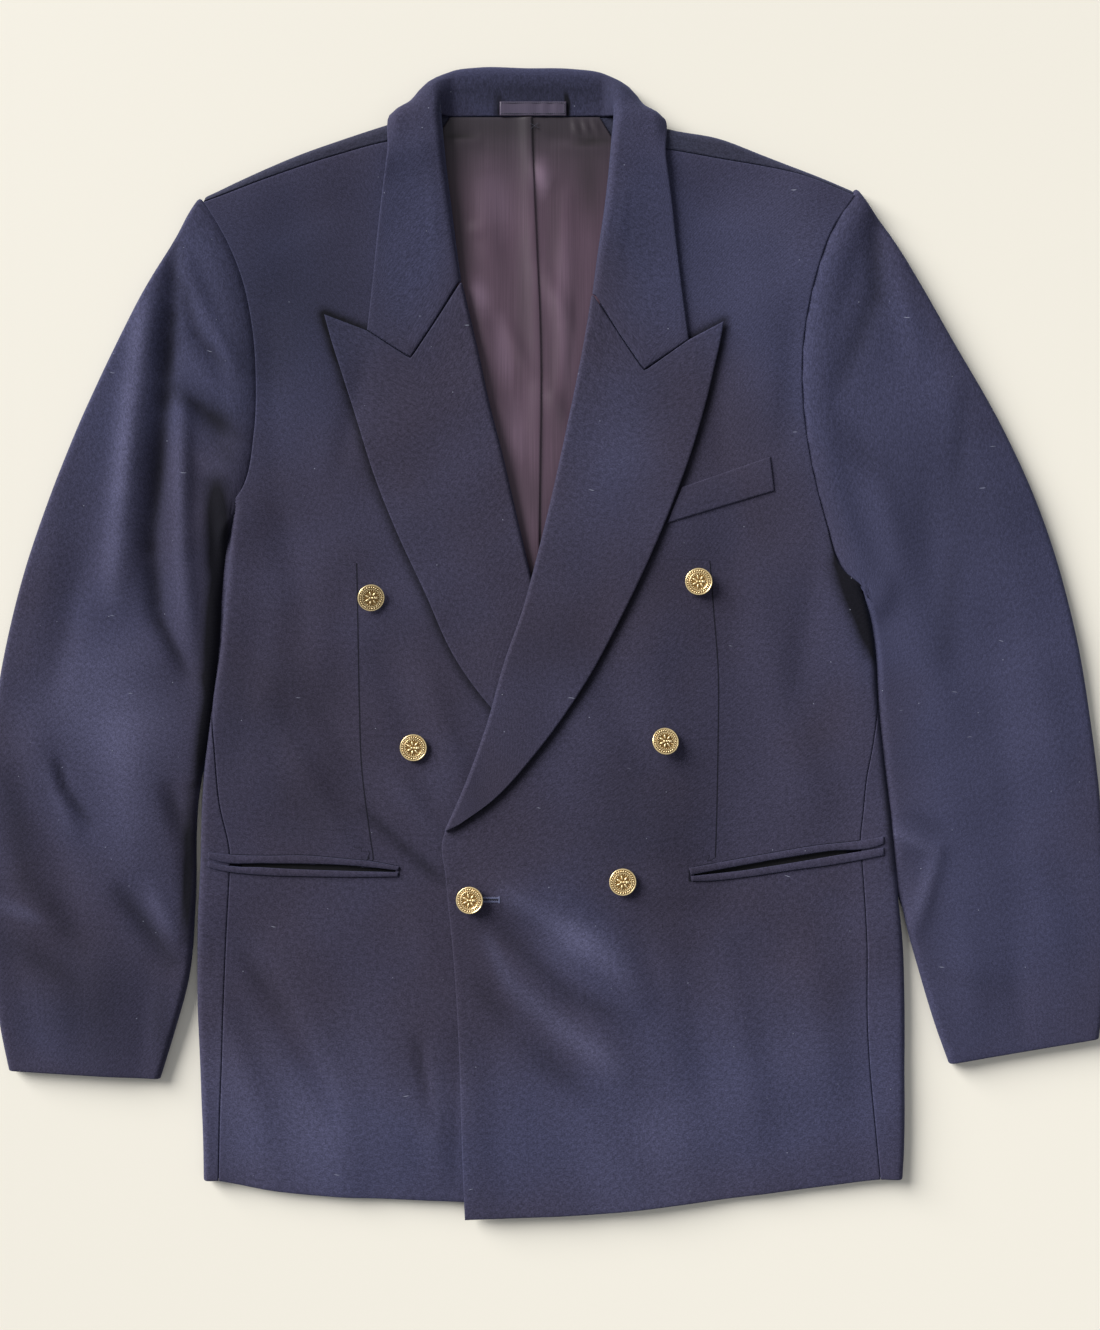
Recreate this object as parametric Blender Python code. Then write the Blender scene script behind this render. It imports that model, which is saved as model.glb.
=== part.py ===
"""A double-breasted jacket laid flat on its back, as rigid cloth panels.

Lengths in the tables are millimetres. X runs across the jacket, Y from hem to
collar, Z up from the floor. Left and right are the wearer's, so the left front
lies at +X and on top of the right one. Every panel is a grid of points on the
middle of its cloth, given a wall along its own normals.
"""
import math

import bpy
import numpy as np

MM = 0.001
SEAM_POINTS = 60   # points in which a curved seam is read
CLOTH = 2.0        # wool with its backing and seam turnings
SATIN = 1.2        # lining and hanger patch
JET = 1.4          # folded pocket jets and chest welt
SEAM = 0.3         # between two pieces that are sewn together
LAY = 0.4          # between two cloths that lie on each other
ARM_SEAM = 1.3     # sleeve head and armhole, which meet at an angle

FLAT = 5.8         # middle height of the fronts where they lie flat
SHOULDER_RISE = 6.2
SHOULDER_REACH = 45.0
SIDE_RISE = 2.2
SIDE_REACH = 24.0
ARM_RISE = 2.0
ARM_REACH = 30.0
FALL_LIFT = CLOTH + LAY          # the back rides on the fall of the collar
FOLD = 3.6         # how far a folded edge is rounded, measured across
SHOULDER_FOLD = 5.5
LAPEL_LIFT = 2.7   # middle of a front to the middle of the lapel on it
LAP_SPARE = 0.2    # under the left front, besides the right front and lapel

# Where one height gives way to another, from and to.
NECK_MIDDLE = -12.0
NECK_LIFT_X = (96.0, 150.0)      # the back comes down again, beside the collar
NECK_LIFT_Y = (290.0, 356.0)     # the back climbs onto the fall of the collar
SHOULDER_FULL = 6.0              # full height this far inside the shoulder fold
ARM_RISE_Y = (260.0, 315.0)
LAP_X = (72.0, 140.0)            # the left front comes down past the right lapel
LAP_Y = (60.0, 150.0)
LAP_LAPEL_Y = (-235.0, -165.0)   # only the right front lies beneath below this

# Silhouette of the body, height up the jacket and x of the fold.
SIDE_RIGHT = [(-392, -246.5), (-361, -247), (-310, -249), (-258, -251), (-207, -251),
              (-161, -249), (-117, -247.8), (-91, -246), (-70, -243.5), (-35, -239),
              (0, -234), (35, -231), (59, -228.5), (81, -226.5), (100, -225.5),
              (125, -240), (150, -268), (330, -290)]
SIDE_LEFT = [(-392, 255), (-368, 256.5), (-311, 257), (-265, 257), (-219, 255.5),
             (-190, 252.5), (-166, 250.5), (-144, 248.5), (-117, 245.5), (-84, 241.5),
             (-40, 237.5), (0, 235), (20, 231.5), (40, 228), (58, 238), (80, 262),
             (330, 290)]
# Top edge of the shoulders, x and y of the fold.
SHOULDER = [(-262, 313), (-250, 318), (-220, 332), (-186, 347), (-148, 361),
            (-109, 373.5), (-90, 380), (-76, 393), (48, 393), (64, 377.5),
            (81, 370.5), (125, 361.5), (153, 351), (176, 342), (199, 333), (230, 320)]

# Right front. Side seam: y, cloth past the fold line. Centre: x, y of the edge.
FRONT_RIGHT_SIDE = [(-387, 12.5), (-348, 14), (-284, 19), (-220, 22), (-160.3, 23),
                    (-156.9, 23), (-114, 14), (-70, 6), (-35, -1), (0, -6), (50, -10),
                    (86, -11)]
FRONT_RIGHT_ARM = [(-219, 111), (-211, 150), (-209.5, 190), (-212.5, 230),
                   (-220.5, 266), (-231, 291), (-239, 305), (-246, 316)]
FRONT_RIGHT_CENTRE = [(65, -405), (65, -365), (65, -300), (65, -238), (65, -176),
                      (65, -172.4), (49, -118), (31, -75), (15, -38), (3, -12),
                      (-7, 17), (-17, 55), (-27, 94), (-37, 136), (-48, 180),
                      (-57, 216), (-66, 259), (-79, 290), (-87, 325), (-94, 363)]
# Left front, the same columns.
FRONT_LEFT_SIDE = [(-386, 17.5), (-346, 23), (-281, 28), (-216, 27), (-150.1, 25),
                   (-146.5, 25), (-120, 20), (-97, 15), (-73, 8), (-40, 1), (0, -5),
                   (26, -9)]
FRONT_LEFT_ARM = [(210, 57), (201.2, 85.6), (191, 126), (184.8, 168), (184, 206),
                  (188, 240), (194.5, 268), (205, 297), (221, 321)]
FRONT_LEFT_CENTRE = [(-59, -415), (-61, -368), (-63, -300), (-66.5, -236),
                     (-70, -197.3), (-70.4, -193.5), (-73, -165), (-75.5, -146),
                     (-57, -107), (-40, -61), (-24.6, -9), (-13.2, 24), (-5.4, 52),
                     (2.8, 85), (12, 128), (22, 170), (29, 204), (37, 240),
                     (46, 275), (53, 312), (60, 357)]
BODY_ROWS = [1, 1, 2, 1, 1, 1, 2, 2, 2, 1, 1]      # rows from station to station
FOLD_COLUMNS = [0, 2.5, 5, 8, 11, 15, 22, 34]      # from the side seam inwards
FRONT_COLUMNS = 11               # even ones after those
PANEL_COLUMNS = (9, 5)           # on top and round the fold, then underneath
PANEL_FINE = 12.0                # the first of these reach this far past the fold
BACK_COLUMNS = 12
BACK_TOP_ROWS = [2, 7]           # over the blades, then over the shoulder
POCKET_SLIT = (5, 6, 1, 10)      # grid cells of a front left out: rows, columns

# Seam between side panel and back, underneath, x and y; then the armhole.
BACK_SEAM_RIGHT = [(-157, -388), (-158, -285), (-160, -160), (-163, -66),
                   (-174, 20), (-190, 74), (-211, 121)]
BACK_ARM_RIGHT = [(-210, 150), (-209.5, 190), (-212.5, 230), (-220.5, 266),
                  (-231, 291), (-239, 305)]
BACK_SEAM_LEFT = [(165, -388), (165, -285), (167, -150), (171, -80), (177, -20),
                  (187, 28), (203, 78)]
BACK_ARM_LEFT = [(191, 126), (184.8, 168), (184, 206), (188, 240), (194.5, 268),
                 (205, 297)]
BACK_CENTRE = [(4, -393), (3, -285), (1, -155), (-1, -73), (-3, 0), (-4, 51),
               (-5, 100), (-6, 140), (-6, 180), (-6, 220), (-6, 260), (-7, 300),
               (-7, 340), (-7, 379.5)]
SHOULDER_SEAM_RIGHT = [(-246, 316), (-178, 341), (-114, 359.5), (-94, 363)]
SHOULDER_SEAM_LEFT = [(221, 321), (183, 335.5), (125, 347), (87, 353.5), (60, 357)]
NECK_RIGHT = [(-88, 384), (-81, 380.5), (-70, 379.5)]
NECK_LEFT = [(57, 382), (52, 379.8), (44, 379.5)]
HEM_RIGHT = [(-237, -387), (-201, -394), (-91, -401.5), (65, -405)]
HEM_LEFT = [(241, -386), (125, -401), (48, -410), (-59, -415)]

# Lapels: roll line against outer edge, from the break up to the gorge.
LAPEL_RIGHT_ROLL = [(62, -138), (47, -107), (28, -61), (13, -26), (-4, 17),
                    (-13, 51), (-23, 93), (-33, 136), (-42, 171), (-50, 208),
                    (-57, 238), (-62, 259)]
LAPEL_RIGHT_OUT = [(54.5, -138), (30, -115), (-5, -80), (-36, -51), (-66, -11),
                   (-88, 37), (-108, 80), (-124, 120), (-135, 155), (-147, 193),
                   (-155, 218), (-160, 236)]
LAPEL_RIGHT_TOP = [(-62, 259), (-80, 231), (-98, 204), (-129.5, 224.5), (-160, 236)]
LAPEL_LEFT_ROLL = [(-72.5, -135), (-60, -107), (-43, -61), (-29, -12), (-17, 22),
                   (-9, 51), (2, 95), (12, 140), (20, 178), (26, 208), (30, 231),
                   (33, 250)]
LAPEL_LEFT_OUT = [(-64.5, -131), (-38, -112), (-8, -79), (28, -28), (52, 16),
                  (69, 51), (88, 95), (104, 138), (114, 172), (121, 201),
                  (125, 219), (127, 231)]
LAPEL_LEFT_TOP = [(33, 250), (51, 223), (69.6, 195), (102, 218), (127, 231)]
LAPEL_ROWS = [2, 2, 2, 2, 1, 2, 1, 1, 1, 1, 2]
LAPEL_TURN = 6           # points round the roll
LAPEL_SOFT = 0.3         # extra radius of the roll near the collar
LAPEL_SOFT_FROM, LAPEL_SOFT_TO = 3, 11     # stations of the roll line
ROLL_TUCK = 0.5          # how far the lapel's inner edge lies inside its roll
LAPEL_FALL = 16.0        # the roll comes down over this width

# Collar on the fronts: roll line x, y, free edge x, y, roll radius, extra lift.
COLLAR_RIGHT = [(-62.6, 260, -129.1, 225.2, 1.5, 0), (-67, 292, -125, 262, 2.2, 0),
                (-70, 317, -122, 292, 2.8, 0.2), (-73, 341, -118, 324, 3.2, 0.6),
                (-75, 362, -114, 351, 3.4, 1.8)]
COLLAR_LEFT = [(33.6, 251, 101.8, 218.3, 1.5, 0), (38, 284, 97, 255, 2.2, 0),
               (42, 311, 93, 288, 2.8, 0.2), (45, 337, 89, 322, 3.2, 0.6),
               (47, 360, 85, 349, 3.4, 1.8)]
COLLAR_RIGHT_END = [(-80.4, 232.2), (-98.2, 205.7), (-108.3, 211.8)]
COLLAR_LEFT_END = [(51.7, 223.2), (69.8, 196.8), (80.1, 203.8)]
# Collar over the shoulder point: neck, roll, top, three on the fall, free edge.
COLLAR_RIGHT_TURN = [
    [(-81, 381, 10.5), (-76.6, 384, 14), (-80, 385, 16.6), (-88, 385.5, 17),
     (-98, 384.5, 16.2), (-105.5, 383, 14.5), (-111, 380, 10)],
    [(-77, 381, 8), (-75.5, 397, 12), (-79, 401, 13), (-86, 400, 11.5),
     (-94, 394, 7.5), (-97, 388, 1.8), (-97, 380, 1)]]
COLLAR_LEFT_TURN = [
    [(52, 378, 10.5), (48.6, 381, 14), (52, 382, 16.6), (60, 382.5, 17),
     (69, 382, 16.2), (77, 380.5, 14.5), (83, 377, 10)],
    [(49, 379.5, 8), (47.5, 394, 12), (51, 398, 13), (58, 397, 11.5),
     (66, 391, 7.5), (69, 385, 1.8), (69, 377.5, 1)]]
# Collar behind the neck: x, y of the upper fold, x of the free edge underneath.
COLLAR_BACK = [(-68, 412, -74), (-50, 414.5, -52), (-14, 414, -14), (18, 413.5, 20),
               (41, 410, 46)]
COLLAR_FOLD = [(-6, 8.0), (-1.2, 6.6), (0, 4.5), (-4.5, 1.3)]   # y from the fold, z
COLLAR_ROWS = [1, 1, 1, 1, 2, 2, 2, 1, 1, 1, 1, 2, 2, 2, 1, 1, 1, 1]
COLLAR_ACROSS = [1, 2, 2, 2, 2, 2]
COLLAR_TUCK = 1.2        # how far the neck edge lies inside the roll
COLLAR_SPREAD = (0.3, 0.62, 0.8)           # where the fall is measured
COLLAR_FALL = 20.0       # the roll comes down over this width
FALL_EDGE = 365.0
NECK_SEAM = 380.1
STAND_LOW = 4.9          # middle of the stand at the neck seam
STAND_SLOPE = 0.075

# Sleeves: outer fold against inner fold, from armhole to cuff.
SLEEVE_RIGHT_OUT = [(-254, 315), (-285, 262), (-322, 190), (-353, 117), (-379, 40),
                    (-395, -34), (-402, -100), (-404, -165), (-400, -230),
                    (-392, -284), (-387, -308)]
SLEEVE_RIGHT_IN = [(-226.5, 92), (-236, 74), (-241, 42), (-242, 0), (-245, -42),
                   (-250, -85), (-253.5, -130), (-254.5, -185), (-259, -240),
                   (-271, -285), (-280, -314)]
CAP_RIGHT = [(-254, 315), (-239.6, 306), (-231.6, 292), (-221, 266), (-213, 230),
             (-210, 190), (-211.5, 150), (-219.5, 111), (-226.5, 92)]
SLEEVE_LEFT_OUT = [(227, 323), (252, 285), (290, 220), (329, 152), (360, 80),
                   (380, 8), (392, -62), (400, -140), (402, -215), (400, -262),
                   (397, -285)]
SLEEVE_LEFT_IN = [(230, 38), (237, 18), (239.5, 0), (242, -36), (245, -72),
                  (249.5, -110), (253.5, -150), (258.5, -195), (269, -235),
                  (281, -275), (291, -303)]
CAP_LEFT = [(227, 323), (217, 317), (205.5, 297), (195, 268), (188.5, 240),
            (184.5, 206), (185.3, 168), (191.5, 126), (202.4, 86), (211.5, 59),
            (220, 46), (230, 38)]
SLEEVE_HEIGHT = 9.0
SLEEVE_UNDER = 18.0      # how far the top sleeve is folded underneath
SLEEVE_UNDER_ARMPIT = 5.1          # and at the inner fold near the armpit
UNDER_STATIONS = (0.5, 2)          # where that grows to its full width
SLEEVE_ROWS = [4, 2, 2, 1, 2, 1, 1, 1, 1, 1]
SLEEVE_TURN = 5          # points round a fold
SLEEVE_COLUMNS = 10      # between the folds
CAP_REACH = 12           # how fast rows straighten below the sleeve head
HEAD_ROLL = 1.6          # the head stands up by this, HEAD_AT from the seam
HEAD_AT = 13.0
HEAD_WIDE = 9.0
HEAD_JOIN = 34.0         # from the seam to the sleeve's own height
ARMPIT_CLEAR = 10.0      # the under sleeve stops short of the armpit's gathered cloth
ARMPIT_STATIONS = (0.6, 1.8)

# Soft creases: start x, y, end x, y, half width, height.
CREASES = [(-286, 262, -312, 90, 24, 2.6), (-262, 292, -236, 215, 15, 1.2),
           (-250, 190, -288, 10, 17, -0.8), (-365, 20, -380, -180, 22, 1.2),
           (-300, -60, -310, -240, 26, 1.0), (250, 270, 300, 100, 26, 2.4),
           (235, 150, 300, -20, 18, -1.2), (330, 40, 350, -200, 26, 1.4),
           (-150, -50, -110, -150, 20, -1.0), (60, -200, 10, -260, 24, 1.0),
           (120, -240, 60, -330, 26, 0.8)]

BUTTONS = [(-127, 33), (109, 44), (-96, -75), (84, -71), (-55, -184), (54, -171)]
BUTTON_ON_RIGHT = (0, 2)
# Half profile of a shank button: radius, height.
BUTTON_PROFILE = [(0.0, 0.0), (2.4, 0.0), (2.4, 1.0), (8.2, 1.3), (9.7, 2.0),
                  (9.7, 2.9), (8.9, 3.4), (7.6, 3.0), (3.8, 3.6), (0.0, 3.8)]
BUTTON_SIDES = 18
SHANK_REACH = 3.0        # the cloth under the shank is measured this far out

WELT_LOW = [(86.2, 86), (125, 98), (163.5, 109.5)]
WELT_HIGH = [(97, 112), (130, 123.5), (160.5, 134)]
HANGER = (-33.0, 13.0, 381.5, 391.0)      # x from, x to, y from, y to
LINING_CENTRE = -7.0
LINING_ROWS = [2, 2, 3, 3, 2]
LINING_COLUMNS = 6
LINING_EDGE = [(20, -84, 64), (120, -98, 78), (240, -98, 80), (300, -96, 76),
               (356, -85, 52), (379.3, -70, 38)]     # y, x at right, x at left
# Pocket jets, upper line and lower line of each.
JETS = {
    "jet_right_upper": ([(-243.5, -150.5), (-230, -152), (-204, -153), (-172, -153),
                         (-148, -155), (-127, -157), (-106, -161)],
                        [(-243.5, -154.5), (-236, -157), (-204, -158.4), (-172, -158.8),
                         (-140, -160), (-107, -163.4)]),
    "jet_right_lower": ([(-243.5, -156.5), (-236, -159), (-204, -161.5), (-172, -163.2),
                         (-140, -164.1), (-107, -165)],
                        [(-243.5, -161), (-236, -163), (-204, -167), (-172, -168),
                         (-140, -168.3), (-107, -168)]),
    "jet_left_upper": ([(102, -161.5), (123, -158), (157, -152), (192, -146),
                        (226, -142), (242, -139)],
                       [(103.5, -166.3), (134.5, -160.9), (169, -154.8), (203, -149.6),
                        (238, -145.8), (242, -144)]),
    "jet_left_lower": ([(103.5, -167.5), (140, -163.8), (169, -159.4), (203, -153.7),
                        (226, -149.8), (242, -147)],
                       [(104, -170.8), (114, -171), (146, -168), (180, -163),
                        (203, -160), (226, -156), (242, -152.5)])}
# Pocket bags behind the mouths, upper line and lower line.
BAGS = {"bag_right": ([(-220, -148), (-104, -155)], [(-220, -168), (-104, -175)]),
        "bag_left": ([(108, -157), (216, -139.5)], [(108, -176), (216, -159)])}
BAG = 0.8          # pocketing cloth


def lookup(rows, value):
    """Reads a two-column table at value, smoothly."""
    rows = sorted(rows)
    return np.interp(value, [r[0] for r in rows], [r[1] for r in rows])


def ease(low, high, value):
    t = np.clip((value - low) / (high - low), 0, 1)
    return t * t * (3 - 2 * t)


def bell(distance, reach):
    return np.exp(-(distance / reach) ** 2)


def flow(points, t):
    """Smooth curve through points, t counted in points."""
    p = np.array(points, float)
    span = np.maximum(np.linalg.norm(np.diff(p, axis=0), axis=1), 1e-6)
    slope = np.diff(p, axis=0) / span[:, None]
    tangent = np.vstack([slope[:1], slope[-1:]]) if len(p) == 2 else None
    if tangent is None:
        before, after = span[:-1, None], span[1:, None]
        inner = (after * slope[:-1] + before * slope[1:]) / (before + after)
        tangent = np.vstack([slope[:1], inner, slope[-1:]])
    t = np.clip(np.atleast_1d(np.array(t, float)), 0, len(p) - 1)
    i = np.minimum(t.astype(int), len(p) - 2)
    f = (t - i)[:, None]
    h = span[i][:, None]
    out = ((2 * f**3 - 3 * f**2 + 1) * p[i] + (f**3 - 2 * f**2 + f) * h * tangent[i]
           + (3 * f**2 - 2 * f**3) * p[i + 1] + (f**3 - f**2) * h * tangent[i + 1])
    if p.shape[1] == 3:          # heights never swing past their two neighbours
        pair = p[i, 2], p[i + 1, 2]
        out[:, 2] = np.clip(out[:, 2], np.minimum(*pair), np.maximum(*pair))
    return out


def along(points, u, smooth=True):
    """Points at fractions u of a curve's length."""
    t = np.linspace(0, len(points) - 1, 20 * len(points))
    if smooth:
        line = flow(points, t)
    else:
        p = np.array(points, float)
        line = np.column_stack([np.interp(t, range(len(p)), p[:, k]) for k in (0, 1)])
    run = run_of(line) / run_of(line)[-1]
    return np.column_stack([np.interp(u, run, line[:, k]) for k in range(line.shape[1])])


def run_of(line):
    """Length along a line of points, from 0."""
    return np.concatenate([[0], np.cumsum(np.linalg.norm(np.diff(line, axis=0), axis=1))])


def steps(counts):
    """Station numbers with counts[i] rows between station i and i + 1."""
    out = [0.0]
    for i, n in enumerate(counts):
        out += [i + (k + 1) / n for k in range(n)]
    return out


def patch(low_edge, high_edge, t, u, start=None, end=None, reach=1.0, smooth=True):
    """Rows from one edge table to another; start and end shape the outer rows."""
    a = flow(low_edge, [t])[0]
    b = [np.interp(t, range(len(high_edge)), column) for column in zip(*high_edge)]
    out = a + (b - a) * u[:, None]
    w = t / (len(low_edge) - 1)
    for curve, share in ((start, (1 - w) ** reach), (end, w**reach)):
        if curve is not None and share > 0:
            p = along(curve, u, smooth)
            out = out + share * (p - (p[0] + (p[-1] - p[0]) * u[:, None]))
    return out


def row_shares(width, fixed, rest):
    """Column fractions: fixed distances from the first edge, then even ones."""
    fixed = np.array(fixed, float)
    return np.concatenate([fixed / width, np.linspace(fixed[-1] / width, 1, rest + 1)[1:]])


def segment_distance(x, y, x0, y0, x1, y1):
    dx, dy = x1 - x0, y1 - y0
    k = np.clip(((x - x0) * dx + (y - y0) * dy) / (dx * dx + dy * dy), 0, 1)
    return np.hypot(x - x0 - k * dx, y - y0 - k * dy)


def creases(x, y):
    return sum(h * bell(segment_distance(x, y, x0, y0, x1, y1), w)
               for x0, y0, x1, y1, w, h in CREASES)


def ground(x, y):
    """Middle height of the back, lifted where the collar's fall lies below."""
    beside = 1 - ease(*NECK_LIFT_X, np.abs(x - NECK_MIDDLE))
    return CLOTH / 2 + FALL_LIFT * ease(*NECK_LIFT_Y, y) * beside


def arm_distance(x, y):
    cap = CAP_RIGHT if np.mean(x) < 0 else CAP_LEFT
    line = along(cap, np.linspace(0, 1, SEAM_POINTS))
    return np.min(np.hypot(np.subtract.outer(x, line[:, 0]),
                           np.subtract.outer(y, line[:, 1])), axis=-1)


def body(x, y):
    """Middle height of the right front, and of the left one before overlap."""
    x, y = np.asarray(x, float), np.asarray(y, float)
    below = np.maximum(lookup(SHOULDER, x) - SHOULDER_FULL - y, 0)
    z = FLAT + SHOULDER_RISE * bell(below, SHOULDER_REACH)
    inside = np.minimum(x - lookup(SIDE_RIGHT, y), lookup(SIDE_LEFT, y) - x)
    z = z + SIDE_RISE * bell(np.maximum(inside, 0), SIDE_REACH)
    z = z + ARM_RISE * bell(arm_distance(x, y), ARM_REACH) * (1 - ease(*ARM_RISE_Y, y))
    return z + creases(x, y)


def overlap(x, y):
    """How far the left front is lifted by the right front and lapel under it."""
    lift = CLOTH + LAY + (LAPEL_LIFT + LAP_SPARE) * ease(*LAP_LAPEL_Y, y)
    return lift * (1 - ease(*LAP_X, x)) * (1 - ease(*LAP_Y, y))


def upper(x, y):
    return body(x, y) + overlap(x, y)


def add_solid(name, top, bottom, cells, material):
    """Closes two point grids into one solid, with walls round every open side."""
    rows, cols = top.shape[:2]
    used, faces = {}, []

    def vertex(side, r, c):
        return used.setdefault((side, r, c), len(used))

    def filled(r, c):
        return 0 <= r < rows - 1 and 0 <= c < cols - 1 and cells[r, c]

    for r in range(rows - 1):
        for c in range(cols - 1):
            if not cells[r, c]:
                continue
            ring = [(r, c), (r, c + 1), (r + 1, c + 1), (r + 1, c)]
            faces.append([vertex(1, *k) for k in ring])
            faces.append([vertex(0, *k) for k in reversed(ring)])
            beside = [(r - 1, c), (r, c + 1), (r + 1, c), (r, c - 1)]
            for k, (nr, nc) in enumerate(beside):
                if not filled(nr, nc):
                    a, b = ring[k], ring[(k + 1) % 4]
                    faces.append([vertex(0, *a), vertex(0, *b), vertex(1, *b), vertex(1, *a)])
    points = [None] * len(used)
    for (side, r, c), k in used.items():
        points[k] = (top if side else bottom)[r, c] * MM
    solid = np.array(points)
    volume = 0.0
    for f in faces:
        a = solid[f[0]]
        for k in range(1, len(f) - 1):
            volume += np.dot(a, np.cross(solid[f[k]], solid[f[k + 1]]))
    if volume < 0:
        faces = [f[::-1] for f in faces]
    mesh = bpy.data.meshes.new(name)
    mesh.from_pydata([tuple(p) for p in points], [], faces)
    mesh.materials.append(material)
    thing = bpy.data.objects.new(name, mesh)
    bpy.context.scene.collection.objects.link(thing)
    return thing


def normals(grid):
    du, dv = (np.gradient(grid, axis=k, edge_order=2 if grid.shape[k] > 2 else 1)
              for k in (1, 0))
    n = np.cross(du, dv)
    return n / np.maximum(np.linalg.norm(n, axis=2, keepdims=True), 1e-9)


def sheet(name, grid, wall, material, holes=()):
    grid = np.array(grid, float)
    n = normals(grid) * wall / 2
    cells = np.ones((grid.shape[0] - 1, grid.shape[1] - 1), bool)
    for r0, r1, c0, c1 in holes:
        cells[r0:r1, c0:c1] = False
    return add_solid(name, grid + n, grid - n, cells, material)


def fold_side(px, y, side):
    """Rolls cloth that passes the side fold down and underneath."""
    edge = lookup(SIDE_RIGHT if side < 0 else SIDE_LEFT, y)
    start = edge - side * FOLD
    past = np.maximum(side * (px - start), 0)
    angle = np.minimum(past / FOLD, math.pi)
    inner = past <= 0
    x = np.where(inner, px, start + side * FOLD * np.sin(angle)
                 - side * np.maximum(past - math.pi * FOLD, 0))
    high, low = body(start, y), CLOTH / 2
    curl = (high + low) / 2 + (high - low) / 2 * np.cos(angle)
    return x, curl, inner


def cloth_x(y, s, side):
    """Unrolled x of a point s along the cloth inward from the fold line."""
    edge = lookup(SIDE_RIGHT if side < 0 else SIDE_LEFT, y)
    return edge - side * (FOLD + s - math.pi * FOLD / 2)


def front_grid(side, seam, arm, centre, hem, shoulder):
    edge = [(cloth_x(y, s, side), y) for y, s in seam] + list(arm)
    grid = []
    for t in steps(BODY_ROWS + [1] * (len(centre) - 1 - len(BODY_ROWS))):
        width = abs(flow(edge, [t])[0][0] - flow(centre, [t])[0][0])
        u = row_shares(width, FOLD_COLUMNS, FRONT_COLUMNS)
        p = patch(edge, centre, t, u, hem, shoulder, reach=3)
        x, curl, inner = fold_side(p[:, 0], p[:, 1], side)
        surface = upper(x, p[:, 1]) if side > 0 else body(x, p[:, 1])
        grid.append(np.column_stack([x, p[:, 1], np.where(inner, surface, curl)]))
    return grid


def panel_grid(side, seam, back):
    """Side panel, from the front seam over the fold to the back seam underneath."""
    grid = []
    front = [(cloth_x(y, s, side), y) for y, s in seam]
    low, high = front[0][1], front[-1][1]
    back_x, back_y = np.array(back, float).T
    for t in steps(BODY_ROWS[:len(seam) - 1]):
        px, y = flow(front, [t])[0]
        px += side * (SEAM + 2 * LAY)
        share = (y - low) / (high - low)
        start = lookup(SIDE_RIGHT if side < 0 else SIDE_LEFT, y) - side * FOLD
        by = back[0][1] + share * (back[-1][1] - back[0][1])
        bx = np.interp(by, back_y, back_x)
        end = start + side * (math.pi * FOLD + abs(start - bx) - 2 * SEAM)
        width = abs(end - px)
        near = min(abs(cloth_x(y, -PANEL_FINE, side) - px), width * 0.8)
        over, under = PANEL_COLUMNS
        u = np.concatenate([np.linspace(0, near, over),
                            np.linspace(near, width, under)[1:]]) / width
        across, up = px + (end - px) * u, y + (by - y) * u
        x, curl, inner = fold_side(across, np.full(len(u), y), side)
        grid.append(np.column_stack([x, up, np.where(inner, body(x, up), curl)]))
    return grid


def back_grid(seam, arm, shoulder_seam, neck, side):
    """Half a back: flat, then rolled up over the shoulder to the shoulder seam."""
    line = along(shoulder_seam, np.linspace(0, 1, SEAM_POINTS))
    start = lookup(SHOULDER, line[:, 0]) - SHOULDER_FOLD
    rolled = 2 * start + math.pi * SHOULDER_FOLD - line[:, 1] - 3 * SEAM
    top = [tuple(p) for p in np.column_stack([line[:, 0], rolled])]
    centre = [(x + side * SEAM / 2, y) for x, y in BACK_CENTRE]
    edge = list(seam) + list(arm) + [top[0]]
    top = top + neck + [centre[-1]]
    grid = []
    for t in steps([1] * (len(centre) - 3) + BACK_TOP_ROWS):
        p = patch(edge, centre, t, np.linspace(0, 1, BACK_COLUMNS), None, top,
                  reach=5, smooth=False)
        start = lookup(SHOULDER, p[:, 0]) - SHOULDER_FOLD
        past = np.maximum(p[:, 1] - start, 0)
        angle = np.minimum(past / SHOULDER_FOLD, math.pi)
        y = np.where(past > 0, start + SHOULDER_FOLD * np.sin(angle)
                     - np.maximum(past - math.pi * SHOULDER_FOLD, 0), p[:, 1])
        low, high = ground(p[:, 0], y), body(p[:, 0], y)
        z = low + (high - low) * (1 - np.cos(angle)) / 2
        grid.append(np.column_stack([p[:, 0], y, z]))
    return grid


def lapel_grid(roll, outer, top, surface):
    """Rows from the roll line to the outer edge; one column meets the notch."""
    grid = []
    run = run_of(np.array(top, float))
    notch = run[2] / run[-1]
    across = [notch / 4, notch * 0.58, notch, (1 + 2 * notch) / 3, (2 + notch) / 3, 1]
    turn = np.linspace(0, math.pi, LAPEL_TURN)
    for t in steps(LAPEL_ROWS):
        radius = LAPEL_LIFT / 2 + LAPEL_SOFT * ease(LAPEL_SOFT_FROM, LAPEL_SOFT_TO, t)
        line = patch(roll, outer, t, np.linspace(0, 1, SEAM_POINTS), None, top,
                     reach=3, smooth=False)
        run = run_of(line)
        least = radius * (1.2 + 0.2 * np.arange(len(across)))     # where rows are short
        wide = np.maximum(run[-1] * np.array(across), least)
        wide[-1] = run[-1]
        d = np.concatenate([[radius + ROLL_TUCK], radius * (1 - np.sin(turn)), wide])
        x, y = np.interp(d, run, line[:, 0]), np.interp(d, run, line[:, 1])
        lift = LAPEL_LIFT + (2 * radius - LAPEL_LIFT) * bell(d - radius, LAPEL_FALL)
        lift[0] = 0
        lift[1:1 + LAPEL_TURN] = radius * (1 - np.cos(turn))
        grid.append(np.column_stack([x, y, surface(x, y) + lift]))
    return grid


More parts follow.
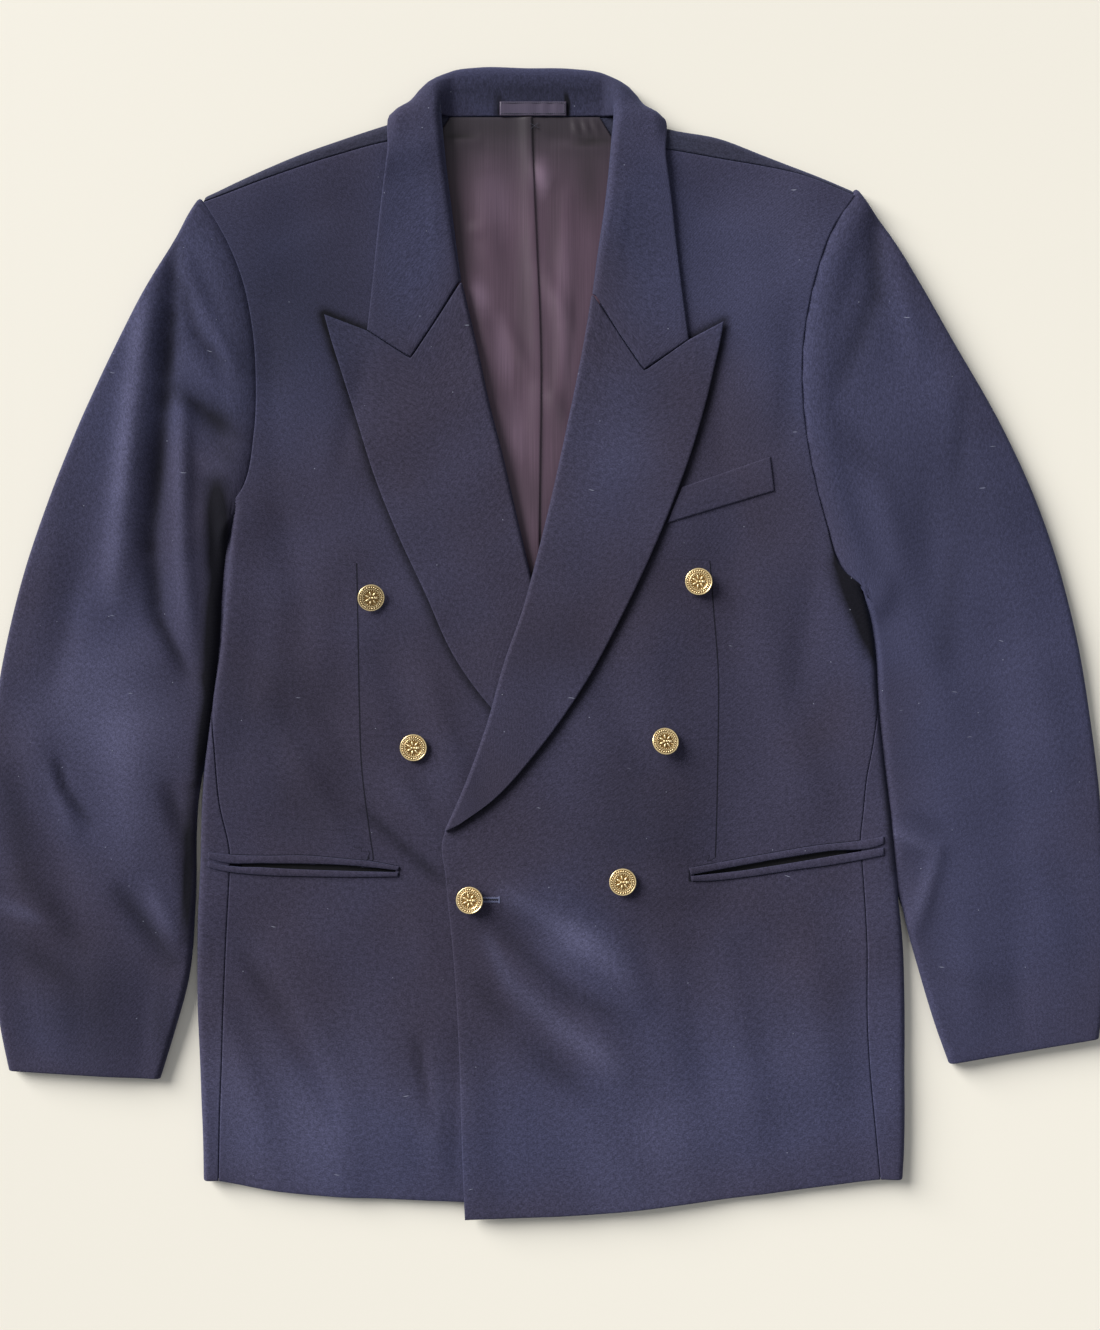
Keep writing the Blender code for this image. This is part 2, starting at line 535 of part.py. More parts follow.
def collar_side(roll_x, roll_y, free_x, free_y, radius, extra, surface, ends=None):
    """Stations on the fronts: neck, roll, top of roll, three on the fall, free edge."""
    roll, free = np.array([roll_x, roll_y], float), np.array([free_x, free_y], float)
    way = (free - roll) / np.linalg.norm(free - roll)
    spots = [roll + way * (radius + COLLAR_TUCK), roll, roll + way * radius]
    spots += ends or [roll + way * radius + (free - roll - way * radius) * k
                      for k in COLLAR_SPREAD]
    spots.append(free)
    spots = np.array(spots, float)
    run = np.linalg.norm(spots - roll, axis=1)
    lift = LAPEL_LIFT + extra
    lift = lift + (2 * radius - lift) * bell(np.maximum(run - radius, 0), COLLAR_FALL)
    lift = np.maximum(lift, LAPEL_LIFT)
    lift[0], lift[1], lift[2] = 0, radius, 2 * radius
    z = surface(spots[:, 0], spots[:, 1]) + lift
    return np.column_stack([spots, z])


def stand(y):
    """Middle height of the collar stand behind the neck."""
    return STAND_LOW + (y - NECK_SEAM) * STAND_SLOPE


def collar_back(x, top, free_x):
    """Stations behind the neck: the stand seen from inside, the fall below."""
    middle = (NECK_SEAM + top) / 2 + 2
    rows = [(x, NECK_SEAM, stand(NECK_SEAM)), (x, middle, stand(middle))]
    rows += [(x, top + y, z) for y, z in COLLAR_FOLD]
    return np.array(rows + [(free_x, FALL_EDGE, CLOTH / 2)])


def collar_grid():
    right = [collar_side(*row, body, COLLAR_RIGHT_END if k == 0 else None)
             for k, row in enumerate(COLLAR_RIGHT)]
    left = [collar_side(*row, upper, COLLAR_LEFT_END if k == 0 else None)
            for k, row in enumerate(COLLAR_LEFT)]
    stations = right + [np.array(row, float) for row in COLLAR_RIGHT_TURN]
    stations += [collar_back(*row) for row in COLLAR_BACK]
    stations += [np.array(row, float) for row in COLLAR_LEFT_TURN[::-1]] + left[::-1]
    columns = np.array(stations).transpose(1, 0, 2)
    t = steps(COLLAR_ROWS)
    lines = np.array([flow(column, t) for column in columns])
    across = steps(COLLAR_ACROSS)
    grid = []
    for k, station in enumerate(t):
        straight = np.column_stack([np.interp(across, range(len(columns)), lines[:, k, i])
                                    for i in range(3)])
        soft = ease(0.2, 2, min(station, len(stations) - 1 - station))
        grid.append(straight + soft * (flow(lines[:, k], across) - straight))
    return grid


def sleeve_height(x, y):
    """Middle height of the upper layer of a sleeve."""
    near = arm_distance(x, y)
    z = SLEEVE_HEIGHT + creases(x, y)
    join = ease(0, HEAD_JOIN, near)
    return body(x, y) * (1 - join) + z * join + HEAD_ROLL * bell(near - HEAD_AT, HEAD_WIDE)


def sleeve_grid(outer, inner, cap, under=False):
    """Rows across a sleeve, round both of its folds, or of the strip underneath."""
    grid = []
    rows = steps(SLEEVE_ROWS)
    rows[0] = ARM_SEAM / np.linalg.norm(np.subtract(outer[1], outer[0]))
    turn = np.linspace(0, math.pi, SLEEVE_TURN)
    for t in rows:
        line = patch(outer, inner, t, np.linspace(0, 1, SEAM_POINTS), cap, None, CAP_REACH)
        run = run_of(line)
        width = run[-1]
        grown = ease(*UNDER_STATIONS, t)
        inner_under = SLEEVE_UNDER_ARMPIT + (SLEEVE_UNDER - SLEEVE_UNDER_ARMPIT) * grown
        if under:
            clear = SEAM + ARMPIT_CLEAR * (1 - ease(*ARMPIT_STATIONS, t))
            d = np.linspace(SLEEVE_UNDER + 2 * SEAM, width - inner_under - clear, 6)
            share = np.zeros(len(d))
        else:
            first = np.concatenate([[SLEEVE_UNDER], FOLD * (1 - np.sin(turn))])
            middle = FOLD + (width - 2 * FOLD) * np.linspace(0, 1, SLEEVE_COLUMNS + 2)[1:-1]
            last = np.concatenate([[inner_under], first[1:]])
            d = np.concatenate([first, middle, (width - last)[::-1]])
            half = np.concatenate([[0], (1 - np.cos(turn)) / 2])
            share = np.concatenate([half, np.ones(len(middle)), half[::-1]])
        x, y = np.interp(d, run, line[:, 0]), np.interp(d, run, line[:, 1])
        low, high = CLOTH / 2, sleeve_height(x, y)
        grid.append(np.column_stack([x, y, low + (high - low) * share]))
    return grid


def plate(name, low, high, surface, lift, wall, material, cols=9, rows=2):
    """A small piece between two lines, lying on a surface."""
    u = np.linspace(0, 1, cols)
    a, b = along(low, u), along(high, u)
    grid = []
    for k in range(rows + 1):
        p = a + (b - a) * k / rows
        grid.append(np.column_stack([p, surface(p[:, 0], p[:, 1]) + lift]))
    return sheet(name, grid, wall, material)


def button(name, x, y, z, material):
    """A shank button, its profile turned about an upright line at x, y."""
    rings, points, faces = [], [], []
    for radius, height in BUTTON_PROFILE:
        if radius == 0:
            rings.append([len(points)])
            points.append((x * MM, y * MM, (z + height) * MM))
        else:
            rings.append(list(range(len(points), len(points) + BUTTON_SIDES)))
            for k in range(BUTTON_SIDES):
                a = 2 * math.pi * k / BUTTON_SIDES
                points.append(((x + radius * math.cos(a)) * MM,
                               (y + radius * math.sin(a)) * MM, (z + height) * MM))
    for low, high in zip(rings, rings[1:]):
        for k in range(BUTTON_SIDES):
            j = (k + 1) % BUTTON_SIDES
            if len(low) == 1:
                faces.append((low[0], high[j], high[k]))
            elif len(high) == 1:
                faces.append((low[k], low[j], high[0]))
            else:
                faces.append((low[k], low[j], high[j], high[k]))
    mesh = bpy.data.meshes.new(name)
    mesh.from_pydata(points, [], faces)
    mesh.materials.append(material)
    bpy.context.scene.collection.objects.link(bpy.data.objects.new(name, mesh))


def finish(name, colour, roughness, metallic=0.0):
    material = bpy.data.materials.new(name)
    material.use_nodes = True
    shader = material.node_tree.nodes["Principled BSDF"]
    shader.inputs["Base Color"].default_value = (*colour, 1)
    shader.inputs["Roughness"].default_value = roughness
    shader.inputs["Metallic"].default_value = metallic
    return material


def main():
    for thing in list(bpy.data.objects):
        bpy.data.objects.remove(thing)
    wool = finish("wool", (0.022, 0.024, 0.052), 0.9)
    satin = finish("satin", (0.09, 0.06, 0.075), 0.45)
    pocketing = finish("pocketing", (0.012, 0.012, 0.02), 0.95)
    gold = finish("gold", (0.75, 0.55, 0.25), 0.3, 1.0)

    sheet("front_right", front_grid(-1, FRONT_RIGHT_SIDE, FRONT_RIGHT_ARM,
                                    FRONT_RIGHT_CENTRE, HEM_RIGHT, SHOULDER_SEAM_RIGHT),
          CLOTH, wool, [POCKET_SLIT])
    sheet("front_left", front_grid(1, FRONT_LEFT_SIDE, FRONT_LEFT_ARM,
                                   FRONT_LEFT_CENTRE, HEM_LEFT, SHOULDER_SEAM_LEFT),
          CLOTH, wool, [POCKET_SLIT])
    sheet("side_right", panel_grid(-1, FRONT_RIGHT_SIDE, BACK_SEAM_RIGHT), CLOTH, wool)
    sheet("side_left", panel_grid(1, FRONT_LEFT_SIDE, BACK_SEAM_LEFT), CLOTH, wool)
    sheet("back_right", back_grid(BACK_SEAM_RIGHT, BACK_ARM_RIGHT, SHOULDER_SEAM_RIGHT,
                                  NECK_RIGHT, -1), CLOTH, wool)
    sheet("back_left", back_grid(BACK_SEAM_LEFT, BACK_ARM_LEFT, SHOULDER_SEAM_LEFT,
                                 NECK_LEFT, 1), CLOTH, wool)
    sheet("lapel_right", lapel_grid(LAPEL_RIGHT_ROLL, LAPEL_RIGHT_OUT, LAPEL_RIGHT_TOP,
                                    body), CLOTH, wool)
    sheet("lapel_left", lapel_grid(LAPEL_LEFT_ROLL, LAPEL_LEFT_OUT, LAPEL_LEFT_TOP,
                                   upper), CLOTH, wool)
    sheet("collar", collar_grid(), CLOTH, wool)
    for name, under in (("topsleeve", False), ("undersleeve", True)):
        sheet(name + "_right", sleeve_grid(SLEEVE_RIGHT_OUT, SLEEVE_RIGHT_IN, CAP_RIGHT, under),
              CLOTH, wool)
        sheet(name + "_left", sleeve_grid(SLEEVE_LEFT_OUT, SLEEVE_LEFT_IN, CAP_LEFT, under),
              CLOTH, wool)

    edges = flow(LINING_EDGE, steps(LINING_ROWS))
    for name, column, side in (("lining_right", 1, -1), ("lining_left", 2, 1)):
        grid = []
        for row in edges:
            x = np.linspace(LINING_CENTRE + side * SEAM / 2, row[column], LINING_COLUMNS)
            y = np.full(LINING_COLUMNS, row[0])
            grid.append(np.column_stack([x, y, ground(x, y) + CLOTH / 2 + LAY + SATIN / 2]))
        sheet(name, grid, SATIN, satin)

    on_cloth = CLOTH / 2 + SEAM + JET / 2
    plate("welt", WELT_LOW, WELT_HIGH, upper, on_cloth, JET, wool)
    for name, (high, low) in JETS.items():
        surface = body if "right" in name else upper
        plate(name, low, high, surface, on_cloth, JET, wool, 13, 1)
    for name, (high, low) in BAGS.items():
        surface = body if "right" in name else upper
        plate(name, low, high, surface, -CLOTH / 2 - SEAM - BAG / 2, BAG, pocketing, 7, 2)
    x0, x1, y0, y1 = HANGER
    plate("hanger", [(x0, y0), (x1, y0)], [(x0, y1), (x1, y1)], lambda x, y: stand(y),
          CLOTH / 2 + SEAM + SATIN / 2, SATIN, satin, 7, 1)
    for number, (x, y) in enumerate(BUTTONS):
        surface = body if number in BUTTON_ON_RIGHT else upper
        cross = np.array([(0, 0), (1, 0), (-1, 0), (0, 1), (0, -1)])
        near = SHANK_REACH * cross + (x, y)
        top = float(np.max(surface(near[:, 0], near[:, 1])))
        button(f"button_{number + 1}", x, y, top + CLOTH / 2 + SEAM, gold)


main()
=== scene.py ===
# %% [markdown]
# # A double-breasted jacket laid flat
# The object is a man's navy wool jacket with peaked lapels and gold shank buttons. It lies
# on its back on a pale floor and is seen from straight above, so nearly all that shows is
# cloth: broad panels that are almost flat, rolled at their edges, and lying on each other.

import math

import bpy
import numpy as np
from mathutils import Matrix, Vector


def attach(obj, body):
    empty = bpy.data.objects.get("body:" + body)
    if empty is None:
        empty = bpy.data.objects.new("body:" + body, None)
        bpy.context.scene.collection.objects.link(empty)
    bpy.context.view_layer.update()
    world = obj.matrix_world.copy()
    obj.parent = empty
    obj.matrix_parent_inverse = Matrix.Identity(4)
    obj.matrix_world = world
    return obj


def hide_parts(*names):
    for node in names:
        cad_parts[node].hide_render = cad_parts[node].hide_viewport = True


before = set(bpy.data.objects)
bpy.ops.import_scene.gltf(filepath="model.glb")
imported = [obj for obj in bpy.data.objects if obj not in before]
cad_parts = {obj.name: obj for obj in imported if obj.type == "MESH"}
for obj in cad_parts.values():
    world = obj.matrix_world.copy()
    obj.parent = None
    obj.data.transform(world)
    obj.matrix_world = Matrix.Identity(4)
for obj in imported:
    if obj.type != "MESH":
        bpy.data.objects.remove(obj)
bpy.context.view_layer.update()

MM = 0.001

# %% [markdown]
# ## Camera, floor and light
# The photograph looks straight down, so the camera hangs above the jacket. A long-ish lens
# from over a metre keeps the raised collar from being spread outwards. A window to the upper
# left lights the folds from the side, and a pale room fills the shadows, so one large soft
# lamp and a bright even world are enough.

# %% Camera, floor, lamps
PICTURE_HEIGHT = 957.6 * MM        # what the long side of the picture spans on the floor
PICTURE_CENTRE = (2.2 * MM, -15.8 * MM)
CAMERA_ABOVE = 1.25
SENSOR = 36.0
CLOTH_LEVEL = 8 * MM               # the middle height of what is seen
WINDOW, WINDOW_SPREAD = 5.6, 38.0  # light on the floor, degrees across
WINDOW_WAY = (0.76, -0.55, -0.46)  # the way in which its light goes
ROOM_LAMP, ROOM_LAMP_SIZE, ROOM_LAMP_AT = 8, 2.4, Vector((0.9, -0.8, 2.6))
WALLS = 0.24                       # light from the pale room all round
FLOOR_REACH = 6


def put(name, data):
    """An object with this data, linked to the scene."""
    thing = bpy.data.objects.new(name, data)
    bpy.context.scene.collection.objects.link(thing)
    return thing


def lamp(name, kind, power, colour, way):
    """A lamp whose light goes along way."""
    thing = put(name, bpy.data.lights.new(name, kind))
    thing.data.energy, thing.data.color = power, colour
    thing.rotation_euler = Vector(way).to_track_quat("-Z", "Y").to_euler()
    return thing


camera = put("camera", bpy.data.cameras.new("camera"))
camera.data.sensor_width = SENSOR
camera.data.lens = SENSOR * CAMERA_ABOVE / PICTURE_HEIGHT
camera.location = (*PICTURE_CENTRE, CAMERA_ABOVE + CLOTH_LEVEL)
bpy.context.scene.camera = camera

room = lamp("room", "AREA", ROOM_LAMP, (0.97, 0.98, 1.0), -ROOM_LAMP_AT)
room.location, room.data.size = ROOM_LAMP_AT, ROOM_LAMP_SIZE
window = lamp("window", "SUN", WINDOW, (1.0, 0.985, 0.955), WINDOW_WAY)
window.data.angle = math.radians(WINDOW_SPREAD)
world = bpy.data.worlds.new("room light")
world.use_nodes = True
background = world.node_tree.nodes["Background"].inputs
background["Color"].default_value = (0.95, 0.97, 1.0, 1)
background["Strength"].default_value = WALLS
bpy.context.scene.world = world
bpy.context.scene.view_settings.view_transform = "Standard"

floor_mesh = bpy.data.meshes.new("floor")
floor_mesh.from_pydata([(x * FLOOR_REACH, y * FLOOR_REACH, 0)
                        for x, y in ((-1, -1), (1, -1), (1, 1), (-1, 1))], [], [(0, 1, 2, 3)])
put("floor", floor_mesh)

# %% [markdown]
# ## Colours and nodes
# Colours are written as sRGB hex values, as they are read from a picture, and one function
# turns them into the linear values that a shader works with. One small helper adds a node
# with its settings and links, so that a material reads as a list of what it is made from.

# %% Colour and node helpers
def linear(code, alpha=1.0):
    """Linear colour of an sRGB hex value."""
    parts = [int(code[k:k + 2], 16) / 255 for k in (0, 2, 4)]
    return (*(v / 12.92 if v <= 0.04045 else ((v + 0.055) / 1.055) ** 2.4 for v in parts),
            alpha)


def add(tree, kind, settings=None, **links):
    """Adds a node; a link is an output socket or a plain value, by the input's name."""
    node = tree.nodes.new(kind)
    for key, value in (settings or {}).items():
        setattr(node, key, value)
    for key, value in links.items():
        socket = node.inputs[int(key[1:])] if key[0] == "_" else node.inputs[
            key.replace("_", " ")]
        if isinstance(value, bpy.types.NodeSocket):
            tree.links.new(value, socket)
        else:
            socket.default_value = value
    return node


def new_material(name, colour, roughness, **sockets):
    """A material with its Principled shader, whose own sockets take plain numbers."""
    material = bpy.data.materials.new(name)
    material.use_nodes = True
    shader = material.node_tree.nodes["Principled BSDF"]
    shader.inputs["Base Color"].default_value = linear(colour)
    shader.inputs["Roughness"].default_value = roughness
    for key, value in sockets.items():
        shader.inputs[key.replace("_", " ")].default_value = value
    return material, material.node_tree, shader


RGBA = {"data_type": "RGBA"}       # its colour sockets are inputs 6 and 7 and output 2
TIMES = {"data_type": "RGBA", "blend_type": "MULTIPLY"}
SMOOTH = {"interpolation_type": "SMOOTHSTEP"}


def paint_light_and_shade(tree, colour, lit, shade_colour):
    """Painted light where the mark is above 0, and painted shade where it is below."""
    painted_light = add(tree, "ShaderNodeAttribute", {"attribute_name": "painted_light"}).outputs["Fac"]
    below = add(tree, "ShaderNodeMath", {"operation": "MULTIPLY"}, _0=painted_light, _1=-1.0)
    for share, other in ((painted_light, lit), (below.outputs["Value"], shade_colour)):
        colour = add(tree, "ShaderNodeMix", RGBA, _0=share, _6=colour,
                     _7=linear(other)).outputs[2]
    return colour


def times_grey(tree, colour, grey):
    """A colour that a number makes darker or lighter."""
    grey = add(tree, "ShaderNodeCombineColor", Red=grey, Green=grey, Blue=grey)
    return add(tree, "ShaderNodeMix", TIMES, _0=1.0, _6=colour,
               _7=grey.outputs["Color"]).outputs[2]


def finish_with(tree, shader, colour, height, strength, distance):
    """Links a colour and a fine relief to the shader."""
    tree.links.new(colour, shader.inputs["Base Color"])
    bump = add(tree, "ShaderNodeBump", Height=height, Strength=strength, Distance=distance)
    tree.links.new(bump.outputs["Normal"], shader.inputs["Normal"])

# %% [markdown]
# ## Worsted wool, lightly milled
# A blazer cloth is a twill of fine worsted yarn whose surface has been raised a little, so it
# has almost no gloss and a bluish bloom where light grazes it. The sheen of the shader gives
# that bloom, and a painted sheen in the colour adds to it in places. The diagonal of the twill
# is about 0.6 mm wide in the real cloth. It is drawn three times as coarse, so that it shows
# at all, and its height is kept very low.

# %% Wool
TWILL = 1.8 * MM
FUZZ = 0.9 * MM
NAP = 2.6 * MM           # tufts of the raised surface
CLOUD = 110 * MM
LINT_CELL = 15 * MM
HAIR_CELL = (60 * MM, 7 * MM)        # along and across a stray fibre
HAIRS = 0.86             # share of these cells that hold none
FIBRE_BEND, FIBRE_SWAY = 9 * MM, 4 * MM      # how often and how far a fibre bends
FIBRE_WAYS = (0.5, -1.1)             # radians
CLOUD_SHARE = 0.35       # how much of the lighter dye the clouds bring out


def stray_fibres(tree, place, turn):
    """A mask of short light fibres that all lie roughly one way."""
    bend = add(tree, "ShaderNodeTexNoise", Vector=place, Scale=1 / FIBRE_BEND, Detail=0.0)
    bent = add(tree, "ShaderNodeVectorMath", {"operation": "MULTIPLY_ADD"},
               _0=bend.outputs["Color"], _1=(FIBRE_SWAY,) * 3, _2=place)
    cells = add(tree, "ShaderNodeMapping", Vector=bent.outputs["Vector"],
                Rotation=(0, 0, turn), Scale=(1 / HAIR_CELL[0], 1 / HAIR_CELL[1], 1))
    fibre = add(tree, "ShaderNodeTexVoronoi", {"feature": "F1"},
                Vector=cells.outputs["Vector"], Scale=1.0)
    kept = add(tree, "ShaderNodeSeparateColor", Color=fibre.outputs["Color"]).outputs["Red"]
    kept = add(tree, "ShaderNodeMath", {"operation": "GREATER_THAN"}, _0=kept, _1=HAIRS)
    thin = add(tree, "ShaderNodeMapRange", SMOOTH, Value=fibre.outputs["Distance"],
               From_Min=0.02, From_Max=0.045, To_Min=0.55, To_Max=0)
    return add(tree, "ShaderNodeMath", {"operation": "MULTIPLY"}, _0=thin.outputs["Result"],
               _1=kept.outputs["Value"]).outputs["Value"]


def nap_grain(tree, fuzz, tufts):
    """A number near 1 that varies from tuft to tuft and from fibre to fibre."""
    fine = add(tree, "ShaderNodeMapRange", SMOOTH, Value=fuzz, From_Min=0.3, From_Max=0.7,
               To_Min=0.74, To_Max=1.22)
    broad = add(tree, "ShaderNodeMapRange", SMOOTH, Value=tufts, From_Min=0.3, From_Max=0.7,
                To_Min=0.80, To_Max=1.20)
    return add(tree, "ShaderNodeMath", {"operation": "MULTIPLY"}, _0=fine.outputs["Result"],
               _1=broad.outputs["Result"]).outputs["Value"]


def seam_line_and_ditch_shade(tree, colour):
    """Darkens a colour along a dart's seam line, and paints shade in the ditch round the pocket
    jets.
    """
    sewn = add(tree, "ShaderNodeAttribute", {"attribute_name": "dart"}).outputs["Fac"]
    beside = add(tree, "ShaderNodeMath", {"operation": "ABSOLUTE"}, _0=sewn)
    share = add(tree, "ShaderNodeMapRange", SMOOTH, Value=beside.outputs["Value"],
                From_Min=0.2, From_Max=0.8, To_Min=0.85, To_Max=0)
    return add(tree, "ShaderNodeMix", RGBA, _0=share.outputs["Result"], _6=colour,
               _7=linear("0c0c14")).outputs[2]


def wool_material(name, deep, light, lit, shade_colour, dart=False):
    material, tree, shader = new_material(
        name, deep, 0.92, Specular_IOR_Level=0.18, Sheen_Weight=0.22, Sheen_Roughness=0.45,
        Sheen_Tint=linear("8a9ad0"))
    place = add(tree, "ShaderNodeTexCoord").outputs["Object"]
    along = add(tree, "ShaderNodeUVMap", {"uv_map": "cloth"}).outputs["UV"]
    clouds = add(tree, "ShaderNodeTexNoise", Vector=place, Scale=1 / CLOUD, Detail=3.0)
    tufts = add(tree, "ShaderNodeTexNoise", Vector=along, Scale=1 / NAP, Detail=3.0,
                Roughness=0.65).outputs["Fac"]
    fuzz = add(tree, "ShaderNodeTexNoise", Vector=along, Scale=1 / FUZZ,
               Detail=2.0).outputs["Fac"]
    twill = add(tree, "ShaderNodeTexWave", {"bands_direction": "DIAGONAL"}, Vector=along,
                Scale=0.3 / TWILL, Distortion=1.5, Detail=1.0)
    lint = add(tree, "ShaderNodeTexVoronoi", {"feature": "F1"}, Vector=place,
               Scale=1 / LINT_CELL)
    cloudy = add(tree, "ShaderNodeMapRange", SMOOTH, Value=clouds.outputs["Fac"],
                 From_Min=0.35, From_Max=0.65, To_Min=0, To_Max=1)
    # Painted sheen: the colour goes lighter and bluer where this mark is high.
    painted_sheen = add(tree, "ShaderNodeAttribute", {"attribute_name": "painted_sheen"}).outputs["Fac"]
    share = add(tree, "ShaderNodeMath", {"operation": "MULTIPLY_ADD", "use_clamp": True},
                _0=cloudy.outputs["Result"], _1=CLOUD_SHARE, _2=painted_sheen)
    colour = add(tree, "ShaderNodeMix", RGBA, _0=share.outputs["Value"], _6=linear(deep),
                 _7=linear(light)).outputs[2]
    colour = paint_light_and_shade(tree, colour, lit, shade_colour)
    colour = times_grey(tree, colour, nap_grain(tree, fuzz, tufts))
    speck = add(tree, "ShaderNodeMapRange", SMOOTH, Value=lint.outputs["Distance"],
                From_Min=0.014, From_Max=0.034, To_Min=0.5, To_Max=0).outputs["Result"]
    for mask in (speck, *(stray_fibres(tree, place, way) for way in FIBRE_WAYS)):
        colour = add(tree, "ShaderNodeMix", RGBA, _0=mask, _6=colour,
                     _7=linear("a4a9bd")).outputs[2]
    if dart:
        colour = seam_line_and_ditch_shade(tree, colour)
    height = add(tree, "ShaderNodeMath", {"operation": "MULTIPLY_ADD"},
                 _0=twill.outputs["Fac"], _1=0.35, _2=fuzz).outputs["Value"]
    finish_with(tree, shader, colour, height, 0.35, 0.25 * MM)
    return material


limed_floor, _, _ = new_material("limed floor", "ebe7dc", 0.6)
floor_mesh.materials.append(limed_floor)
NAVY = ("373344", "3a3b54", "555571", "0e0d15")        # deep, light, painted highlight, painted shade
wool = wool_material("milled worsted wool", *NAVY)
darted_wool = wool_material("milled worsted wool with darts", *NAVY, True)
# A darker copy of the same wool for the backs and under sleeves, which lie underneath: painted
# shade.
shaded_wool_under = wool_material("milled worsted wool under side", "312e3c", "323548", *NAVY[2:])
print("wool, twill drawn", TWILL / MM, "mm")

# %% [markdown]
# ## The cut of the jacket
# Every edge of a panel is a short table of points in millimetres, read along the real seam:
# X across the jacket, Y from hem to collar. Left and right are the wearer's. The tables are
# those of the plain solids, so each fine piece lies exactly where its solid lies.

# %% Edges of the body
# Silhouette of the body, height up the jacket and x of the fold.
SIDE_RIGHT = [
    (-392, -246.5), (-361, -247), (-310, -249), (-258, -251), (-207, -251), (-161, -249),
    (-117, -247.8), (-91, -246), (-70, -243.5), (-35, -239), (0, -234), (35, -231), (59, -228.5),
    (81, -226.5), (100, -225.5), (125, -240), (150, -268), (330, -290)]
SIDE_LEFT = [
    (-392, 255), (-368, 256.5), (-311, 257), (-265, 257), (-219, 255.5), (-190, 252.5),
    (-166, 250.5), (-144, 248.5), (-117, 245.5), (-84, 241.5), (-40, 237.5), (0, 235),
    (20, 231.5), (40, 228), (58, 238), (80, 262), (330, 290)]
# Top edge of the shoulders, x and y of the fold.
SHOULDER = [
    (-262, 313), (-250, 318), (-220, 332), (-186, 347), (-148, 361), (-109, 373.5), (-90, 380),
    (-76, 393), (48, 393), (64, 377.5), (81, 370.5), (125, 361.5), (153, 351), (176, 342),
    (199, 333), (230, 320)]

# Right front. Side seam: y, cloth past the fold line. Centre: x, y of the edge.
FRONT_RIGHT_SIDE = [
    (-387, 12.5), (-348, 14), (-284, 19), (-220, 22), (-160.3, 23), (-156.9, 23), (-114, 14),
    (-70, 6), (-35, -1), (0, -6), (50, -10), (86, -11)]
FRONT_RIGHT_ARM = [(-219, 111), (-211, 150), (-209.5, 190), (-212.5, 230),
                   (-220.5, 266), (-231, 291), (-239, 305), (-246, 316)]
FRONT_RIGHT_CENTRE = [
    (65, -405), (65, -365), (65, -300), (65, -238), (65, -176), (65, -172.4), (49, -118),
    (31, -75), (15, -38), (3, -12), (-7, 17), (-17, 55), (-27, 94), (-37, 136), (-48, 180),
    (-57, 216), (-66, 259), (-79, 290), (-87, 325), (-94, 363)]
# Left front, the same columns.
FRONT_LEFT_SIDE = [
    (-386, 17.5), (-346, 23), (-281, 28), (-216, 27), (-150.1, 25), (-146.5, 25), (-120, 20),
    (-97, 15), (-73, 8), (-40, 1), (0, -5), (26, -9)]
FRONT_LEFT_ARM = [(210, 57), (201.2, 85.6), (191, 126), (184.8, 168), (184, 206),
                  (188, 240), (194.5, 268), (205, 297), (221, 321)]
FRONT_LEFT_CENTRE = [
    (-59, -415), (-61, -368), (-63, -300), (-66.5, -236), (-70, -197.3), (-70.4, -193.5),
    (-73, -165), (-75.5, -146), (-57, -107), (-40, -61), (-24.6, -9), (-13.2, 24), (-5.4, 52),
    (2.8, 85), (12, 128), (22, 170), (29, 204), (37, 240), (46, 275), (53, 312), (60, 357)]

# Seam between side panel and back, underneath, x and y; then the armhole.
BACK_SEAM_RIGHT = [(-157, -388), (-158, -285), (-160, -160), (-163, -66),
                   (-174, 20), (-190, 74), (-211, 121)]
BACK_ARM_RIGHT = [(-210, 150)] + FRONT_RIGHT_ARM[2:7]
BACK_SEAM_LEFT = [(165, -388), (165, -285), (167, -150), (171, -80), (177, -20),
                  (187, 28), (203, 78)]
BACK_ARM_LEFT = FRONT_LEFT_ARM[2:8]
BACK_CENTRE = [
    (4, -393), (3, -285), (1, -155), (-1, -73), (-3, 0), (-4, 51), (-5, 100), (-6, 140),
    (-6, 180), (-6, 220), (-6, 260), (-7, 300), (-7, 340), (-7, 379.5)]
SHOULDER_SEAM_RIGHT = [(-246, 316), (-178, 341), (-114, 359.5), (-94, 363)]
SHOULDER_SEAM_LEFT = [(221, 321), (183, 335.5), (125, 347), (87, 353.5), (60, 357)]
NECK_RIGHT = [(-88, 384), (-81, 380.5), (-70, 379.5)]
NECK_LEFT = [(57, 382), (52, 379.8), (44, 379.5)]
HEM_RIGHT = [(-237, -387), (-201, -394), (-91, -401.5), (65, -405)]
HEM_LEFT = [(241, -386), (125, -401), (48, -410), (-59, -415)]

# %% Edges of the lapels and the collar
LAPEL_RIGHT_ROLL = [
    (62, -138), (47, -107), (28, -61), (13, -26), (-4, 17), (-13, 51), (-23, 93), (-33, 136),
    (-42, 171), (-50, 208), (-57, 238), (-62, 259)]
LAPEL_RIGHT_OUT = [
    (54.5, -138), (30, -115), (-5, -80), (-36, -51), (-66, -11), (-88, 37), (-108, 80),
    (-124, 120), (-135, 155), (-147, 193), (-155, 218), (-160, 236)]
LAPEL_RIGHT_TOP = [(-62, 259), (-80, 231), (-98, 204), (-129.5, 224.5), (-160, 236)]
LAPEL_LEFT_ROLL = [
    (-72.5, -135), (-60, -107), (-43, -61), (-29, -12), (-17, 22), (-9, 51), (2, 95), (12, 140),
    (20, 178), (26, 208), (30, 231), (33, 250)]
LAPEL_LEFT_OUT = [
    (-64.5, -131), (-38, -112), (-8, -79), (28, -28), (52, 16), (69, 51), (88, 95), (104, 138),
    (114, 172), (121, 201), (125, 219), (127, 231)]
LAPEL_LEFT_TOP = [(33, 250), (51, 223), (69.6, 195), (102, 218), (127, 231)]
